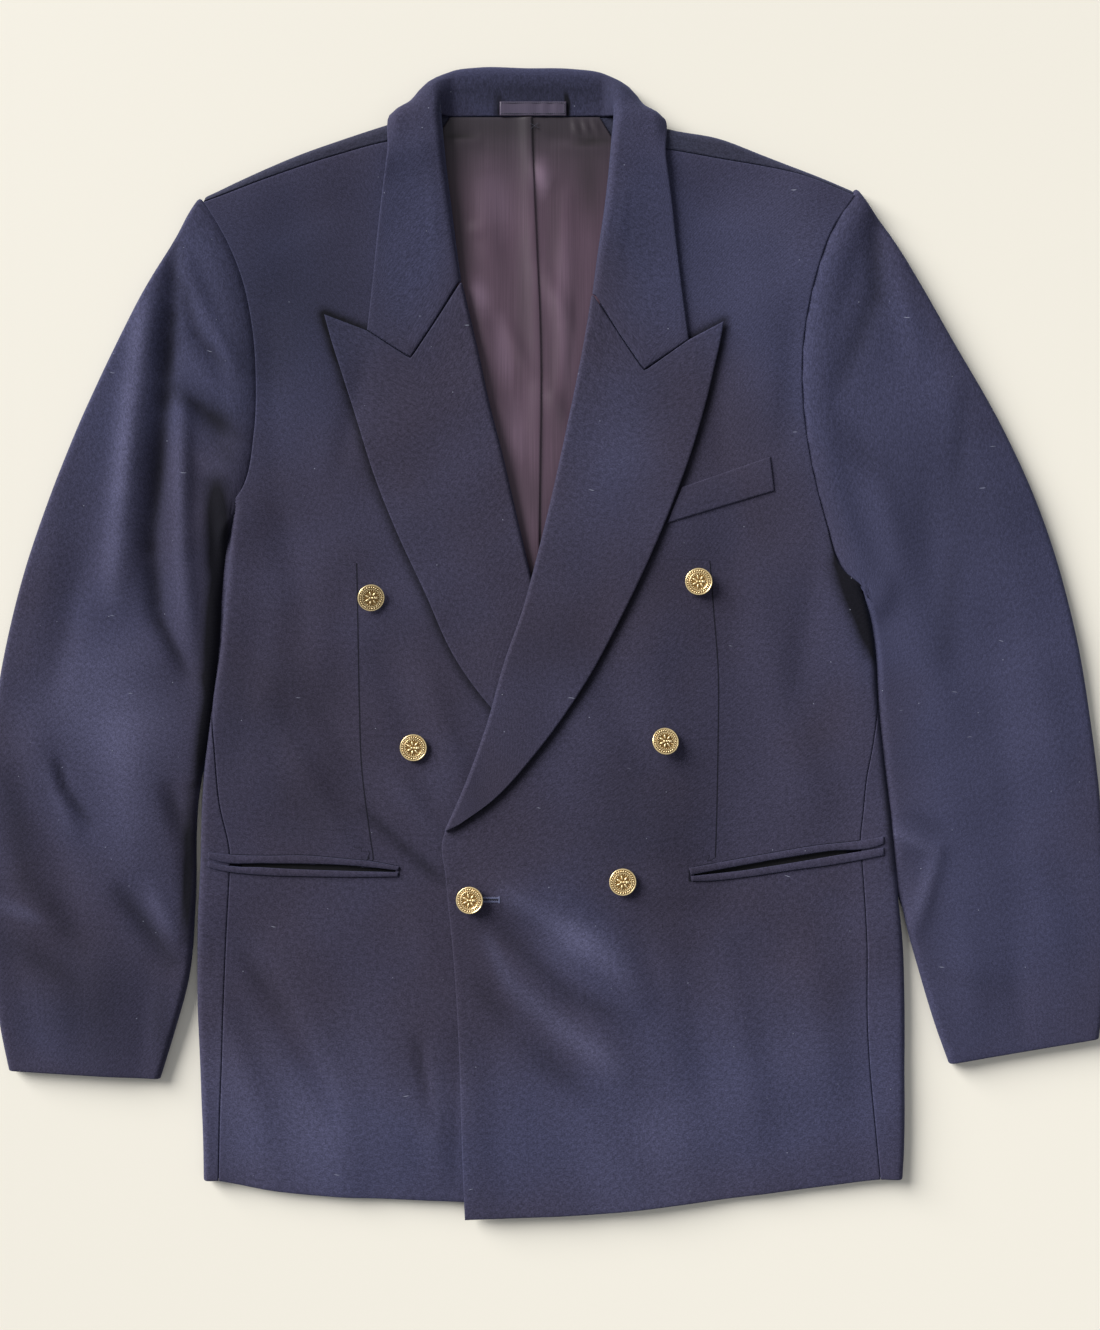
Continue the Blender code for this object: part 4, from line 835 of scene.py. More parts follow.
# %% [markdown]
# ## Fronts, side panels and back
# A jacket body has no edge at the side: the cloth of the side panel simply turns under. So a
# panel is first laid out flat past the fold line, and whatever lies past it is rolled round a
# small radius and on underneath. The back rolls over the shoulders in the same way.

# %% Rolling cloth round a side
SPACING = 4.0        # between the points of a broad panel
NEAR_SIDE, NEAR_STEP, FRONT_POINTS = 24, 1.5, 66       # closer points beside the side fold
POCKET_STATIONS, POCKET_ROWS = (3.6, 5.4), 16          # closer rows along the pocket
PANEL_FINE, PANEL_POINTS, PANEL_UNDER_POINTS = 12, 26, 14
BACK_SPACING, BACK_POINTS, SHOULDER_ROWS = 8, 44, 36

# Body and sleeve touch above the first height, and not at all below the second.
TOUCH = {-1: (-60.0, -120.0), 1: (-172.0, -196.0)}
TOUCH_SPARE = 1.4                        # lost where a fold curves back under
SWELL_MOST = 8.0


def bulge(angle, y, side):
    """How far the lower half of a fold swells out to meet the sleeve or the body."""
    body_edge, sleeve = ((SIDE_RIGHT, SLEEVE_RIGHT_IN) if side < 0
                         else (SIDE_LEFT, SLEEVE_LEFT_IN))
    gap = side * (lookup([(q, p) for p, q in sleeve], y) - lookup(body_edge, y))
    reach = np.clip(gap / 2 + TOUCH_SPARE, 0, SWELL_MOST)
    return reach * np.sin(2 * np.maximum(angle - math.pi / 2, 0)) * (
        ease(TOUCH[side][1], TOUCH[side][0], y))


def fold_side(px, y, side):
    """Place and height of cloth that was laid out flat past the side fold."""
    edge = lookup(SIDE_RIGHT if side < 0 else SIDE_LEFT, y)
    start = edge - side * FOLD
    past = np.maximum(side * (px - start), 0)
    angle = np.minimum(past / FOLD, math.pi)
    x = np.where(past > 0, start + side * (FOLD * np.sin(angle) + bulge(angle, y, side))
                 - side * np.maximum(past - math.pi * FOLD, 0), px)
    high, low = body(start, y), CLOTH / 2
    return x, (high + low) / 2 + (high - low) / 2 * np.cos(angle), past <= 0


def cloth_x(y, s, side):
    """Unrolled x of a point s along the cloth inward from the fold line."""
    edge = lookup(SIDE_RIGHT if side < 0 else SIDE_LEFT, y)
    return edge - side * (FOLD + s - math.pi * FOLD / 2)


def front_grid(side, seam, arm, centre, hem, shoulder):
    edge = [(cloth_x(y, s, side), y) for y, s in seam] + list(arm)
    rows = sorted(set(stations(centre, SPACING))
                  | set(np.linspace(*POCKET_STATIONS, POCKET_ROWS)))
    plan = []
    for t in rows:
        width = abs(flow(edge, [t])[0][0] - flow(centre, [t])[0][0])
        u = np.concatenate([np.arange(0, NEAR_SIDE, NEAR_STEP),
                            np.linspace(NEAR_SIDE, width, FRONT_POINTS)]) / width
        plan.append(patch(edge, centre, t, u, hem, shoulder, reach=3))
    plan = np.array(plan)
    x, curl, inner = fold_side(plan[..., 0], plan[..., 1], side)
    surface = (upper if side > 0 else body)(x, plan[..., 1])
    return np.dstack([x, plan[..., 1], np.where(inner, surface, curl)])


def panel_grid(side, seam, back):
    """Side panel, from the front seam over the fold to the back seam underneath."""
    front = [(cloth_x(y, s, side), y) for y, s in seam]
    low, high = front[0][1], front[-1][1]
    plan = []
    for t in stations(front, SPACING):
        px, y = flow(front, [t])[0]
        px += side * SEAM
        start = lookup(SIDE_RIGHT if side < 0 else SIDE_LEFT, y) - side * FOLD
        by = back[0][1] + (y - low) / (high - low) * (back[-1][1] - back[0][1])
        bx = lookup([(q, p) for p, q in back], by)
        end = start + side * (math.pi * FOLD + abs(start - bx) - 2 * SEAM)
        width = abs(end - px)
        near = min(abs(cloth_x(y, -PANEL_FINE, side) - px), width * 0.8)
        u = np.concatenate([np.linspace(0, near, PANEL_POINTS),
                            np.linspace(near, width, PANEL_UNDER_POINTS)[1:]])
        plan.append(np.column_stack([px + (end - px) * u / width,
                                     np.full(len(u), y), y + (by - y) * u / width]))
    plan = np.array(plan)
    x, curl, inner = fold_side(plan[..., 0], plan[..., 1], side)
    return np.dstack([x, plan[..., 2], np.where(inner, body(x, plan[..., 2]), curl)])


def back_grid(seam, arm, shoulder_seam, neck, side):
    """Half a back: flat, then rolled up over the shoulder to the shoulder seam."""
    line = along(shoulder_seam, np.linspace(0, 1, 60))
    start = lookup(SHOULDER, line[:, 0]) - SHOULDER_FOLD
    rolled = 2 * start + math.pi * SHOULDER_FOLD - line[:, 1] - SEAM
    top = [tuple(p) for p in np.column_stack([line[:, 0], rolled])]
    centre = [(x + side * SEAM / 2, y) for x, y in BACK_CENTRE]
    edge = list(seam) + list(arm) + [top[0]]
    top = top + neck + [centre[-1]]
    rows = [t for t in stations(centre, BACK_SPACING) if t < len(centre) - 2]
    rows += list(np.linspace(len(centre) - 2, len(centre) - 1, SHOULDER_ROWS))
    plan = np.array([patch(edge, centre, t, np.linspace(0, 1, BACK_POINTS), None, top,
                           reach=5, smooth=False) for t in rows])
    start = lookup(SHOULDER, plan[..., 0]) - SHOULDER_FOLD
    past = np.maximum(plan[..., 1] - start, 0)
    angle = np.minimum(past / SHOULDER_FOLD, math.pi)
    y = np.where(past > 0, start + SHOULDER_FOLD * np.sin(angle)
                 - np.maximum(past - math.pi * SHOULDER_FOLD, 0), plan[..., 1])
    low, high = ground(plan[..., 0], y), body(plan[..., 0], y)
    return np.dstack([plan[..., 0], y, low + (high - low) * (1 - np.cos(angle)) / 2])

# %% Darts and pocket mouths
DART_RIGHT = [(-154, -125), (-127, -129), (-95, -133), (-44, -135), (11, -136), (58, -137)]
DART_LEFT = [(-156, 121), (-127, 122), (-74, 123), (-17, 123), (22, 120), (60, 117)]
FAR = 20.0           # a mark this far away has no effect on the cloth
MOUTH_ENDS, MOUTH_EDGE = (4, 2), 0.8       # cloth kept at its ends, cut under the jets


def sewn_lines(rows, side):
    """Signed distance to a dart's seam or to the ditch round the pocket jets."""
    top, low = JETS[f"jet_{side}_upper"][0], JETS[f"jet_{side}_lower"][1]

    def read(x, y):
        beside = np.clip(x - lookup(rows, y), -FAR, FAR)
        beside = np.where((y > rows[0][0] - 4) & (y < rows[-1][0]), beside, FAR)
        ends = sorted((top[0][0], top[-1][0]))
        ditch = np.maximum.reduce([y - lookup(top, x), lookup(low, x) - y,
                                   ends[0] - x, x - ends[1]])
        return np.where(np.abs(ditch) < np.abs(beside), ditch, beside)
    return read


def mouth(side):
    """True for the cells of a front that lie between its two pocket jets."""
    upper_jet, lower_jet = JETS[f"jet_{side}_upper"][1], JETS[f"jet_{side}_lower"][0]

    def read(x, y, z):
        inside = ((x > upper_jet[0][0] + MOUTH_ENDS[0])
                  & (x < upper_jet[-1][0] - MOUTH_ENDS[1]))
        return inside & (z > FLAT - 2) & (y < lookup(upper_jet, x) + MOUTH_EDGE) & (
            y > lookup(lower_jet, x) - MOUTH_EDGE)
    return read


# %% Shade beside edges
EDGE_SHADE, EDGE_REACH = 0.9, 4.5
# Deep shade where cloth turns down: rows as in the tables of tones.
ARMPIT_LEFT = [
    (206, 78, 211, 56, 4, -1.0), (211, 56, 223, 30, 9, -1.4), (223, 30, 234, -5, 8, -1.4),
    (235, -5, 241, -60, 3, -0.9), (241, -60, 249, -165, 3, -0.7)]
ARMPIT_RIGHT = [(-237, 112, -236, 60, 9, -1.6), (-235, 62, -242, -25, 8, -1.6),
                (-242, -25, -252, -100, 5, -1.2), (-256, -104, -260, -214, 4, -0.9)]
# Painted shade round the hanger and over the collar stand: rows as above.
HANGER_FRAME = [
    (-80, 396, 58, 396, 13, -0.25), (-36, 382, 15, 382, 1.6, -1.2),
    (-36, 392.5, 15, 392.5, 1.6, -1.2), (-35, 381, -35, 393, 1.5, -1.2),
    (14.5, 381, 14.5, 393, 1.5, -1.2)]


def shaded(rows):
    """The painted light and shade, with these rows of painted deep shade."""
    return lambda x, y: painted_light(x, y) + ridges(rows, x, y, 0.4)


def shaded_front(out, top):
    """Painted light and shade, and the painted shade a lapel throws on the front beside its edge.
    """
    edge = np.concatenate([along(out, np.linspace(0, 1, 90)),
                           along(top[3:], np.linspace(0, 1, 12), False)])

    def read(x, y):
        near = np.full(np.shape(x), FAR)
        for px, py in edge:
            near = np.minimum(near, np.hypot(x - px, y - py))
        return shaded(ARMPIT_LEFT)(x, y) - EDGE_SHADE * bell(near, EDGE_REACH)
    return read


# %% Body panels
cloth("front_right_cloth",
      front_grid(-1, FRONT_RIGHT_SIDE, FRONT_RIGHT_ARM, FRONT_RIGHT_CENTRE, HEM_RIGHT,
                 SHOULDER_SEAM_RIGHT), CLOTH, darted_wool, mouth("right"),
      {"dart": sewn_lines(DART_RIGHT, "right"),
       "painted_light": shaded_front(LAPEL_RIGHT_OUT, LAPEL_RIGHT_TOP)})
cloth("front_left_cloth",
      front_grid(1, FRONT_LEFT_SIDE, FRONT_LEFT_ARM, FRONT_LEFT_CENTRE, HEM_LEFT,
                 SHOULDER_SEAM_LEFT), CLOTH, darted_wool, mouth("left"),
      {"dart": sewn_lines(DART_LEFT, "left"),
       "painted_light": shaded_front(LAPEL_LEFT_OUT, LAPEL_LEFT_TOP)})
cloth("side_right_cloth", panel_grid(-1, FRONT_RIGHT_SIDE, BACK_SEAM_RIGHT), CLOTH, wool)
cloth("side_left_cloth", panel_grid(1, FRONT_LEFT_SIDE, BACK_SEAM_LEFT), CLOTH, wool,
      marks={"painted_light": shaded(ARMPIT_LEFT)})
cloth("back_right_cloth", back_grid(BACK_SEAM_RIGHT, BACK_ARM_RIGHT, SHOULDER_SEAM_RIGHT,
                                    NECK_RIGHT, -1), CLOTH, shaded_wool_under)
cloth("back_left_cloth", back_grid(BACK_SEAM_LEFT, BACK_ARM_LEFT, SHOULDER_SEAM_LEFT,
                                   NECK_LEFT, 1), CLOTH, shaded_wool_under)

# %% [markdown]
# ## Lapels and collar
# A lapel is the front's own facing, turned outwards along the roll line. It is never pressed
# flat at that line: it comes up in a soft round roll and sinks to the chest a little further
# out, so the roll catches light. Rows run from the roll line to the outer edge, and the last
# one follows the gorge up to the notch and out to the tip. The collar is one strip of rows
# round the neck, which stand up behind it and fall over on the outside.

# %% Lapels
LAPEL_SPACING, LAPEL_TURN = 3.5, 11        # between rows; points round the roll
LAPEL_POINTS, TIP_POINTS = 15, 20          # up to the notch and from there to the tip
ROLL_CLEAR = (1.2, 2.2)                    # the first points stay clear of the roll


def lapel_grid(roll, outer, top, surface):
    run = run_of(np.array(top, float))
    notch = run[2] / run[-1]
    turn = np.linspace(0, math.pi, LAPEL_TURN)
    grid = []
    for t in stations(roll, LAPEL_SPACING):
        radius = LAPEL_LIFT / 2 + LAPEL_SOFT * ease(LAPEL_SOFT_FROM, LAPEL_SOFT_TO, t)
        line = patch(roll, outer, t, np.linspace(0, 1, 120), None, top, reach=3,
                     smooth=False)
        run = run_of(line)
        share = np.concatenate([np.linspace(0, notch, LAPEL_POINTS)[1:],
                                np.linspace(notch, 1, TIP_POINTS)[1:]])
        wide = np.maximum(run[-1] * share, radius * np.linspace(*ROLL_CLEAR, len(share)))
        wide[-1] = run[-1]
        wide = np.maximum.accumulate(wide)
        d = np.concatenate([[radius + ROLL_TUCK], radius * (1 - np.sin(turn)), wide])
        x, y = np.interp(d, run, line[:, 0]), np.interp(d, run, line[:, 1])
        lift = LAPEL_LIFT + (2 * radius - LAPEL_LIFT) * bell(d - radius, LAPEL_FALL)
        lift[0] = 0
        lift[1:1 + LAPEL_TURN] = radius * (1 - np.cos(turn))
        grid.append(np.column_stack([x, y, lift]))
    grid = np.array(grid)
    grid[..., 2] += surface(grid[..., 0], grid[..., 1])
    return grid


cloth("lapel_right_cloth", lapel_grid(LAPEL_RIGHT_ROLL, LAPEL_RIGHT_OUT, LAPEL_RIGHT_TOP,
                                      body), CLOTH, wool)
cloth("lapel_left_cloth", lapel_grid(LAPEL_LEFT_ROLL, LAPEL_LEFT_OUT, LAPEL_LEFT_TOP,
                                     upper), CLOTH, wool)

# %% Collar
COLLAR_SPACING, COLLAR_ACROSS = 3.5, 3.0


def collar_side(roll_x, roll_y, free_x, free_y, radius, extra, surface, ends=None):
    """Stations on the fronts: neck, roll, top of roll, three on the fall, free edge."""
    roll, free = np.array([roll_x, roll_y], float), np.array([free_x, free_y], float)
    way = (free - roll) / np.linalg.norm(free - roll)
    spots = [roll + way * (radius + COLLAR_TUCK), roll, roll + way * radius]
    spots += ends or [roll + way * radius + (free - roll - way * radius) * k
                      for k in COLLAR_SPREAD]
    spots = np.array(spots + [free], float)
    run = np.linalg.norm(spots - roll, axis=1)
    lift = LAPEL_LIFT + extra
    lift = lift + (2 * radius - lift) * bell(np.maximum(run - radius, 0), COLLAR_FALL)
    lift = np.maximum(lift, LAPEL_LIFT)
    lift[0], lift[1], lift[2] = 0, radius, 2 * radius
    return np.column_stack([spots, surface(spots[:, 0], spots[:, 1]) + lift])


def stand(y):
    """Middle height of the collar stand behind the neck."""
    return STAND_LOW + (y - NECK_SEAM) * STAND_SLOPE


def collar_back(x, top, free_x):
    """Stations behind the neck: the stand seen from inside, the fall below."""
    middle = (NECK_SEAM + top) / 2 + 2
    rows = [(x, NECK_SEAM, stand(NECK_SEAM)), (x, middle, stand(middle))]
    rows += [(x, top + y, z) for y, z in COLLAR_FOLD]
    return np.array(rows + [(free_x, FALL_EDGE, CLOTH / 2)])


def collar_grid():
    right = [collar_side(*row, body, COLLAR_RIGHT_END if k == 0 else None)
             for k, row in enumerate(COLLAR_RIGHT)]
    left = [collar_side(*row, upper, COLLAR_LEFT_END if k == 0 else None)
            for k, row in enumerate(COLLAR_LEFT)]
    rings = right + [np.array(row, float) for row in COLLAR_RIGHT_TURN]
    rings += [collar_back(*row) for row in COLLAR_BACK]
    rings += [np.array(row, float) for row in COLLAR_LEFT_TURN[::-1]] + left[::-1]
    columns = np.array(rings).transpose(1, 0, 2)
    t = stations(columns[2], COLLAR_SPACING)
    lines = np.array([flow(column, t) for column in columns])
    across = stations(columns[:, 2], COLLAR_ACROSS)
    grid = []
    for k, station in enumerate(t):
        straight = np.column_stack([np.interp(across, range(len(columns)), lines[:, k, i])
                                    for i in range(3)])
        soft = ease(0.2, 2, min(station, len(rings) - 1 - station))
        grid.append(straight + soft * (flow(lines[:, k], across) - straight))
    return grid


cloth("collar_cloth", collar_grid(), CLOTH, wool, marks={"painted_light": shaded(HANGER_FRAME)})

# %% [markdown]
# ## Sleeves
# A laid sleeve is a flattened tube. Its top half bellies up a little between two rolled
# sides, each turning under for some 18 mm, and the under sleeve closes it below. The head is
# eased into the armhole, so just outside that seam it stands up in a soft ridge.

# %% Sleeves
SEAM_DIP, DIP_REACH = 1.3, 3.0       # the sleeve sinks at the armhole seam
SEAM_TUCK = 2.4      # its turning goes this far in and down under the front,
TUCK_RISE = 3.0      # all of it only where the cloth is this high up
SLEEVE_POINTS, SIDE_POINTS, SIDE_ROLL, UNDER_POINTS = 44, 6, 11, 16


def sleeve_height(x, y):
    """Middle height of the upper layer of a sleeve."""
    near = arm_distance(x, y)
    join = ease(0, HEAD_JOIN, near)
    z = (SLEEVE_HEIGHT + creases(x, y)) * join + body(x, y) * (1 - join)
    return z + HEAD_ROLL * bell(near - HEAD_AT, HEAD_WIDE) - SEAM_DIP * bell(near, DIP_REACH)


def sleeve_grid(outer, inner, cap, under=False):
    """Rows across a sleeve, round both of its folds, or of the strip underneath."""
    rows = stations(outer, SPACING)
    rows[0] = ARM_SEAM / np.linalg.norm(np.subtract(outer[1], outer[0]))
    turn = np.linspace(0, math.pi, SIDE_ROLL)
    side = -1 if inner[0][0] < 0 else 1
    grid = []
    for t in rows:
        line = patch(outer, inner, t, np.linspace(0, 1, 160), cap, None, CAP_REACH)
        run = run_of(line)
        width = run[-1]
        grown = ease(*UNDER_STATIONS, t)
        inner_under = SLEEVE_UNDER_ARMPIT + (SLEEVE_UNDER - SLEEVE_UNDER_ARMPIT) * grown
        if under:
            clear = SEAM + ARMPIT_CLEAR * (1 - ease(*ARMPIT_STATIONS, t))
            d = np.linspace(SLEEVE_UNDER + SEAM, width - inner_under - clear, UNDER_POINTS)
            share = np.zeros(len(d))
        else:
            first, last = (np.concatenate([np.linspace(wide, FOLD, SIDE_POINTS)[:-1],
                                           FOLD * (1 - np.sin(turn))])
                           for wide in (SLEEVE_UNDER, inner_under))
            middle = FOLD + (width - 2 * FOLD) * np.linspace(0, 1, SLEEVE_POINTS)[1:-1]
            d = np.concatenate([first, middle, (width - last)[::-1]])
            half = np.concatenate([np.zeros(SIDE_POINTS - 1), (1 - np.cos(turn)) / 2])
            share = np.concatenate([half, np.ones(len(middle)), half[::-1]])
        x, y = np.interp(d, run, line[:, 0]), np.interp(d, run, line[:, 1])
        if not under:
            down = math.pi / 2 * (1 + np.linspace(0, 1, len(last)))
            x[-len(last):] -= side * bulge(down, y[-len(last):], side)
        grid.append(np.column_stack([x, y, share]))
    grid = np.array(grid)
    low, high = CLOTH / 2, sleeve_height(grid[..., 0], grid[..., 1])
    grid[..., 2] = low + (high - low) * grid[..., 2]
    way = grid[1:2] - grid[:1]
    tuck = grid[:1] - SEAM_TUCK * way / np.linalg.norm(way, axis=2, keepdims=True)
    tuck[..., 2] -= SEAM_TUCK * ease(low, low + TUCK_RISE, grid[:1, :, 2])
    return np.concatenate([tuck, grid])


for side, shade, *edges in (
        ("right", ARMPIT_RIGHT, SLEEVE_RIGHT_OUT, SLEEVE_RIGHT_IN, CAP_RIGHT),
        ("left", [], SLEEVE_LEFT_OUT, SLEEVE_LEFT_IN, CAP_LEFT)):
    cloth(f"topsleeve_{side}_cloth", sleeve_grid(*edges), CLOTH, wool,
          marks={"painted_light": shaded(shade)})
    cloth(f"undersleeve_{side}_cloth", sleeve_grid(*edges, under=True), CLOTH, shaded_wool_under)

# %% [markdown]
# ## Satin lining
# The back is lined with a plum satin that is cut wider than the cloth, with a pleat down the
# middle. So it lies in loose folds, and one half covers the other along the pleat. Satin
# shows long warp threads, which give a gloss that is streaked along the jacket. Its folds are
# rows of the same kind as the wool's, but they only rise where nothing lies on the lining.

# %% Satin
SATIN_THREAD = 0.5 * MM
GLOSS = 0.36


def satin_material(name, deep, light):
    material, tree, shader = new_material(name, light, GLOSS, Specular_IOR_Level=0.45,
                                          Sheen_Weight=0.15, Sheen_Roughness=0.3)
    place = add(tree, "ShaderNodeTexCoord").outputs["Object"]
    long = add(tree, "ShaderNodeMapping", Vector=place, Scale=(1 / SATIN_THREAD, 18, 1))
    threads = add(tree, "ShaderNodeTexNoise", Vector=long.outputs["Vector"], Scale=1.0,
                  Detail=2.0).outputs["Fac"]
    up = add(tree, "ShaderNodeSeparateXYZ", Vector=place).outputs["Y"]
    share = add(tree, "ShaderNodeMapRange", SMOOTH, Value=up, From_Min=0.30, From_Max=0.385,
                To_Min=0, To_Max=1)
    colour = add(tree, "ShaderNodeMix", RGBA, _0=share.outputs["Result"], _6=linear(light),
                 _7=linear(deep)).outputs[2]
    # Painted shimmer and painted shade on the satin, from its marks of painted light and shade.
    colour = paint_light_and_shade(tree, colour, "8c768c", "211d20")
    tint = add(tree, "ShaderNodeMapRange", SMOOTH, Value=threads, From_Min=0.3, From_Max=0.7,
               To_Min=0.86, To_Max=1.12).outputs["Result"]
    finish_with(tree, shader, times_grey(tree, colour, tint), threads, 0.12, 0.1 * MM)
    return material


plum_satin = satin_material("plum viscose satin", "373139", "544251")

# %% Lining with its pleat
PLEAT = [(0, -7), (73, -7), (233, -6.5), (290, -9), (353, -11.7), (380, -12.5)]
PLEAT_LAP = 1.5         # the right half lies on the left one this far
PLEAT_RISE, PLEAT_REACH = SATIN + 0.3, 7.0
SATIN_DEEPEST = -0.9
BESIDE_ROLLS = 16.0     # the folds grow over this width, inward from lapels and collar
LINING_ROWS, LINING_POINTS = 130, 44
SATIN_FOLDS = [
    (-54, 255, -43, 207, 6, 2.2), (-6, 348, -2, 330, 6, 1.6), (-1, 268, 13, 232, 7, 1.8),
    (1, 183, 13, 160, 7, 1.9), (-39, 178, -30, 160, 5, 1.5), (-46, 340, -40, 270, 9, 1.6),
    (-28, 340, -24, 210, 9, -0.9), (14, 320, 12, 130, 7, 1.8), (-20, 150, -14, 60, 6, 1.0),
    (2, 120, -2, 50, 5, 0.9), (-58, 300, -44, 296, 5, 0.9), (-30, 232, -14, 196, 5, 1.1),
    (-75, 367, -52, 366, 2.5, -0.9), (-75, 362, -50, 361, 3, 0.9), (2, 366, 20, 361, 3, -0.8),
    (20, 361, 46, 364, 3, -0.9), (8, 358, 42, 355, 4, 0.9), (20, 376, 22, 366, 2.4, 1.0),
    (27, 376, 30, 366, 2.4, 1.1), (34, 376, 37, 367, 2.4, 1.0)]
# Where the satin shimmers (above 0) or turns away from the window, rows as above.
SATIN_TONES = [
    (-80, 372, 50, 371, 9, -0.35), (-75, 366, -52, 365.5, 2, -0.7), (20, 360, 46, 363, 3, -0.7),
    (-70, 346, -58, 262, 8, -0.45), (30, 356, 32, 306, 10, -0.5), (-40, 340, -34, 300, 11, 0.3),
    (-4, 345, -3, 326, 6, 0.6), (6, 330, 2, 262, 5, -0.3), (13, 300, 12, 190, 7, 0.15),
    (-51, 262, -46, 240, 6, 0.5), (-18, 290, -17, 190, 8, -0.35), (-34, 232, -28, 190, 7, 0.3),
    (3, 240, 5, 150, 5, -0.25), (-24, 170, -20, 135, 7, 0.2), (-10, 125, -8, 90, 7, -0.25)]
RIGHT_ROLL = [(y, x) for x, y in LAPEL_RIGHT_ROLL] + [(r[1], r[0]) for r in COLLAR_RIGHT]
LEFT_ROLL = [(y, x) for x, y in LAPEL_LEFT_ROLL] + [(r[1], r[0]) for r in COLLAR_LEFT]


def satin_height(x, y, side):
    """Middle height of the lining; the right half climbs over the left one at the pleat."""
    z = ground(x, y) + CLOTH / 2 + LAY + SATIN / 2
    free = np.minimum(x - lookup(RIGHT_ROLL, y), lookup(LEFT_ROLL, y) - x)
    folds = ridges(SATIN_FOLDS, x, y)
    z = z + np.maximum(folds, SATIN_DEEPEST) * ease(0, BESIDE_ROLLS, free)
    if side < 0:
        z = z + PLEAT_RISE * bell(x - lookup(PLEAT, y), PLEAT_REACH)
    return z


for side, column, name in ((-1, 1, "lining_right"), (1, 2, "lining_left")):
    y = np.linspace(LINING_EDGE[0][0], LINING_EDGE[-1][0], LINING_ROWS)
    inner = lookup(PLEAT, y) - side * PLEAT_LAP
    outer = lookup([(row[0], row[column]) for row in LINING_EDGE], y)
    x = inner + (outer - inner) * np.linspace(0, 1, LINING_POINTS)[:, None]
    y = np.broadcast_to(y, x.shape)
    cloth(name + "_cloth", np.dstack([x, y, satin_height(x, y, side)]), SATIN, plum_satin,
          marks={"painted_light": lambda x, y: ridges(SATIN_TONES, x, y)})

# %% [markdown]
# ## Pockets
# Each hip pocket is a slit whose two edges are bound by narrow jets, straight folded strips
# that nearly meet. Below the chest there is a welt, a wider strip that stands on the slit.
# All of them follow the front under them, a little higher, with a soft pillow across.

# %% Jets, welt and pocket bags
pocketing = new_material("matt cotton pocketing", "0b0b12", 0.95)[0]
ON_CLOTH = CLOTH / 2 + 0.1 + JET / 2
JET_SINK, WELT_SINK = 0.4, 0.3       # pressed into the soft front under them by this


def strip(name, low, high, surface, lift, wall, material, cols, rows, pillow):
    """A strip between two lines, lifted off a surface, with a soft pillow across."""
    u = np.linspace(0, 1, cols)
    a, b = along(low, u), along(high, u)
    k = np.linspace(0, 1, rows)[:, None, None]
    plan = a + (b - a) * k
    z = surface(plan[..., 0], plan[..., 1]) + lift + pillow * np.sin(math.pi * k[..., 0])
    return cloth(name + "_cloth", np.dstack([plan, z]), wall, material)


for name, (high, low) in JETS.items():
    strip(name, low, high, body if "right" in name else upper, ON_CLOTH - JET_SINK, JET,
          wool, 90, 9, 0.45)
strip("welt", WELT_LOW, WELT_HIGH, upper, ON_CLOTH - WELT_SINK, JET, wool, 40, 16, 0.25)
for name, (high, low) in BAGS.items():
    strip(name, low, high, body if "right" in name else upper,
          -CLOTH / 2 - SEAM - BAG / 2, BAG, pocketing, 40, 8, 0)

# %% Hanger of satin on the collar stand
PUCKERS, PUCKER_HEIGHT = 7, 0.16
x0, x1, y0, y1 = HANGER


def pucker(x, y):
    """Height of the stand with the small puckers of a sewn-on patch."""
    wave = np.sin(PUCKERS * math.pi * (x - x0) / (x1 - x0) + 1.6 * np.sin(x / 7))
    return stand(y) + PUCKER_HEIGHT * wave


# The patch is a little wider and lower than its solid, so that its foot meets the lining.
strip("hanger", [(x0 - 1, y0 - 1.5), (x1 + 1, y0 - 1.5)], [(x0 - 1, y1 - 1), (x1 + 1, y1 - 1)],
      pucker, CLOTH / 2 + 0.2 + SATIN / 2, SATIN,
      satin_material("plum satin of the hanger", "544c60", "544c60"), 60, 12, 0.3)

# %% [markdown]
# ## Stitches and beads
# Hand stitches, the purls of a buttonhole and the rope round a button are all one thing: a
# small bead that repeats along a path. A Geometry Nodes tree makes them. Its inputs are the
# distance from bead to bead and the bead's length, width and lean, so one tree serves every
# row, and what it makes is turned into a plain mesh at the end.

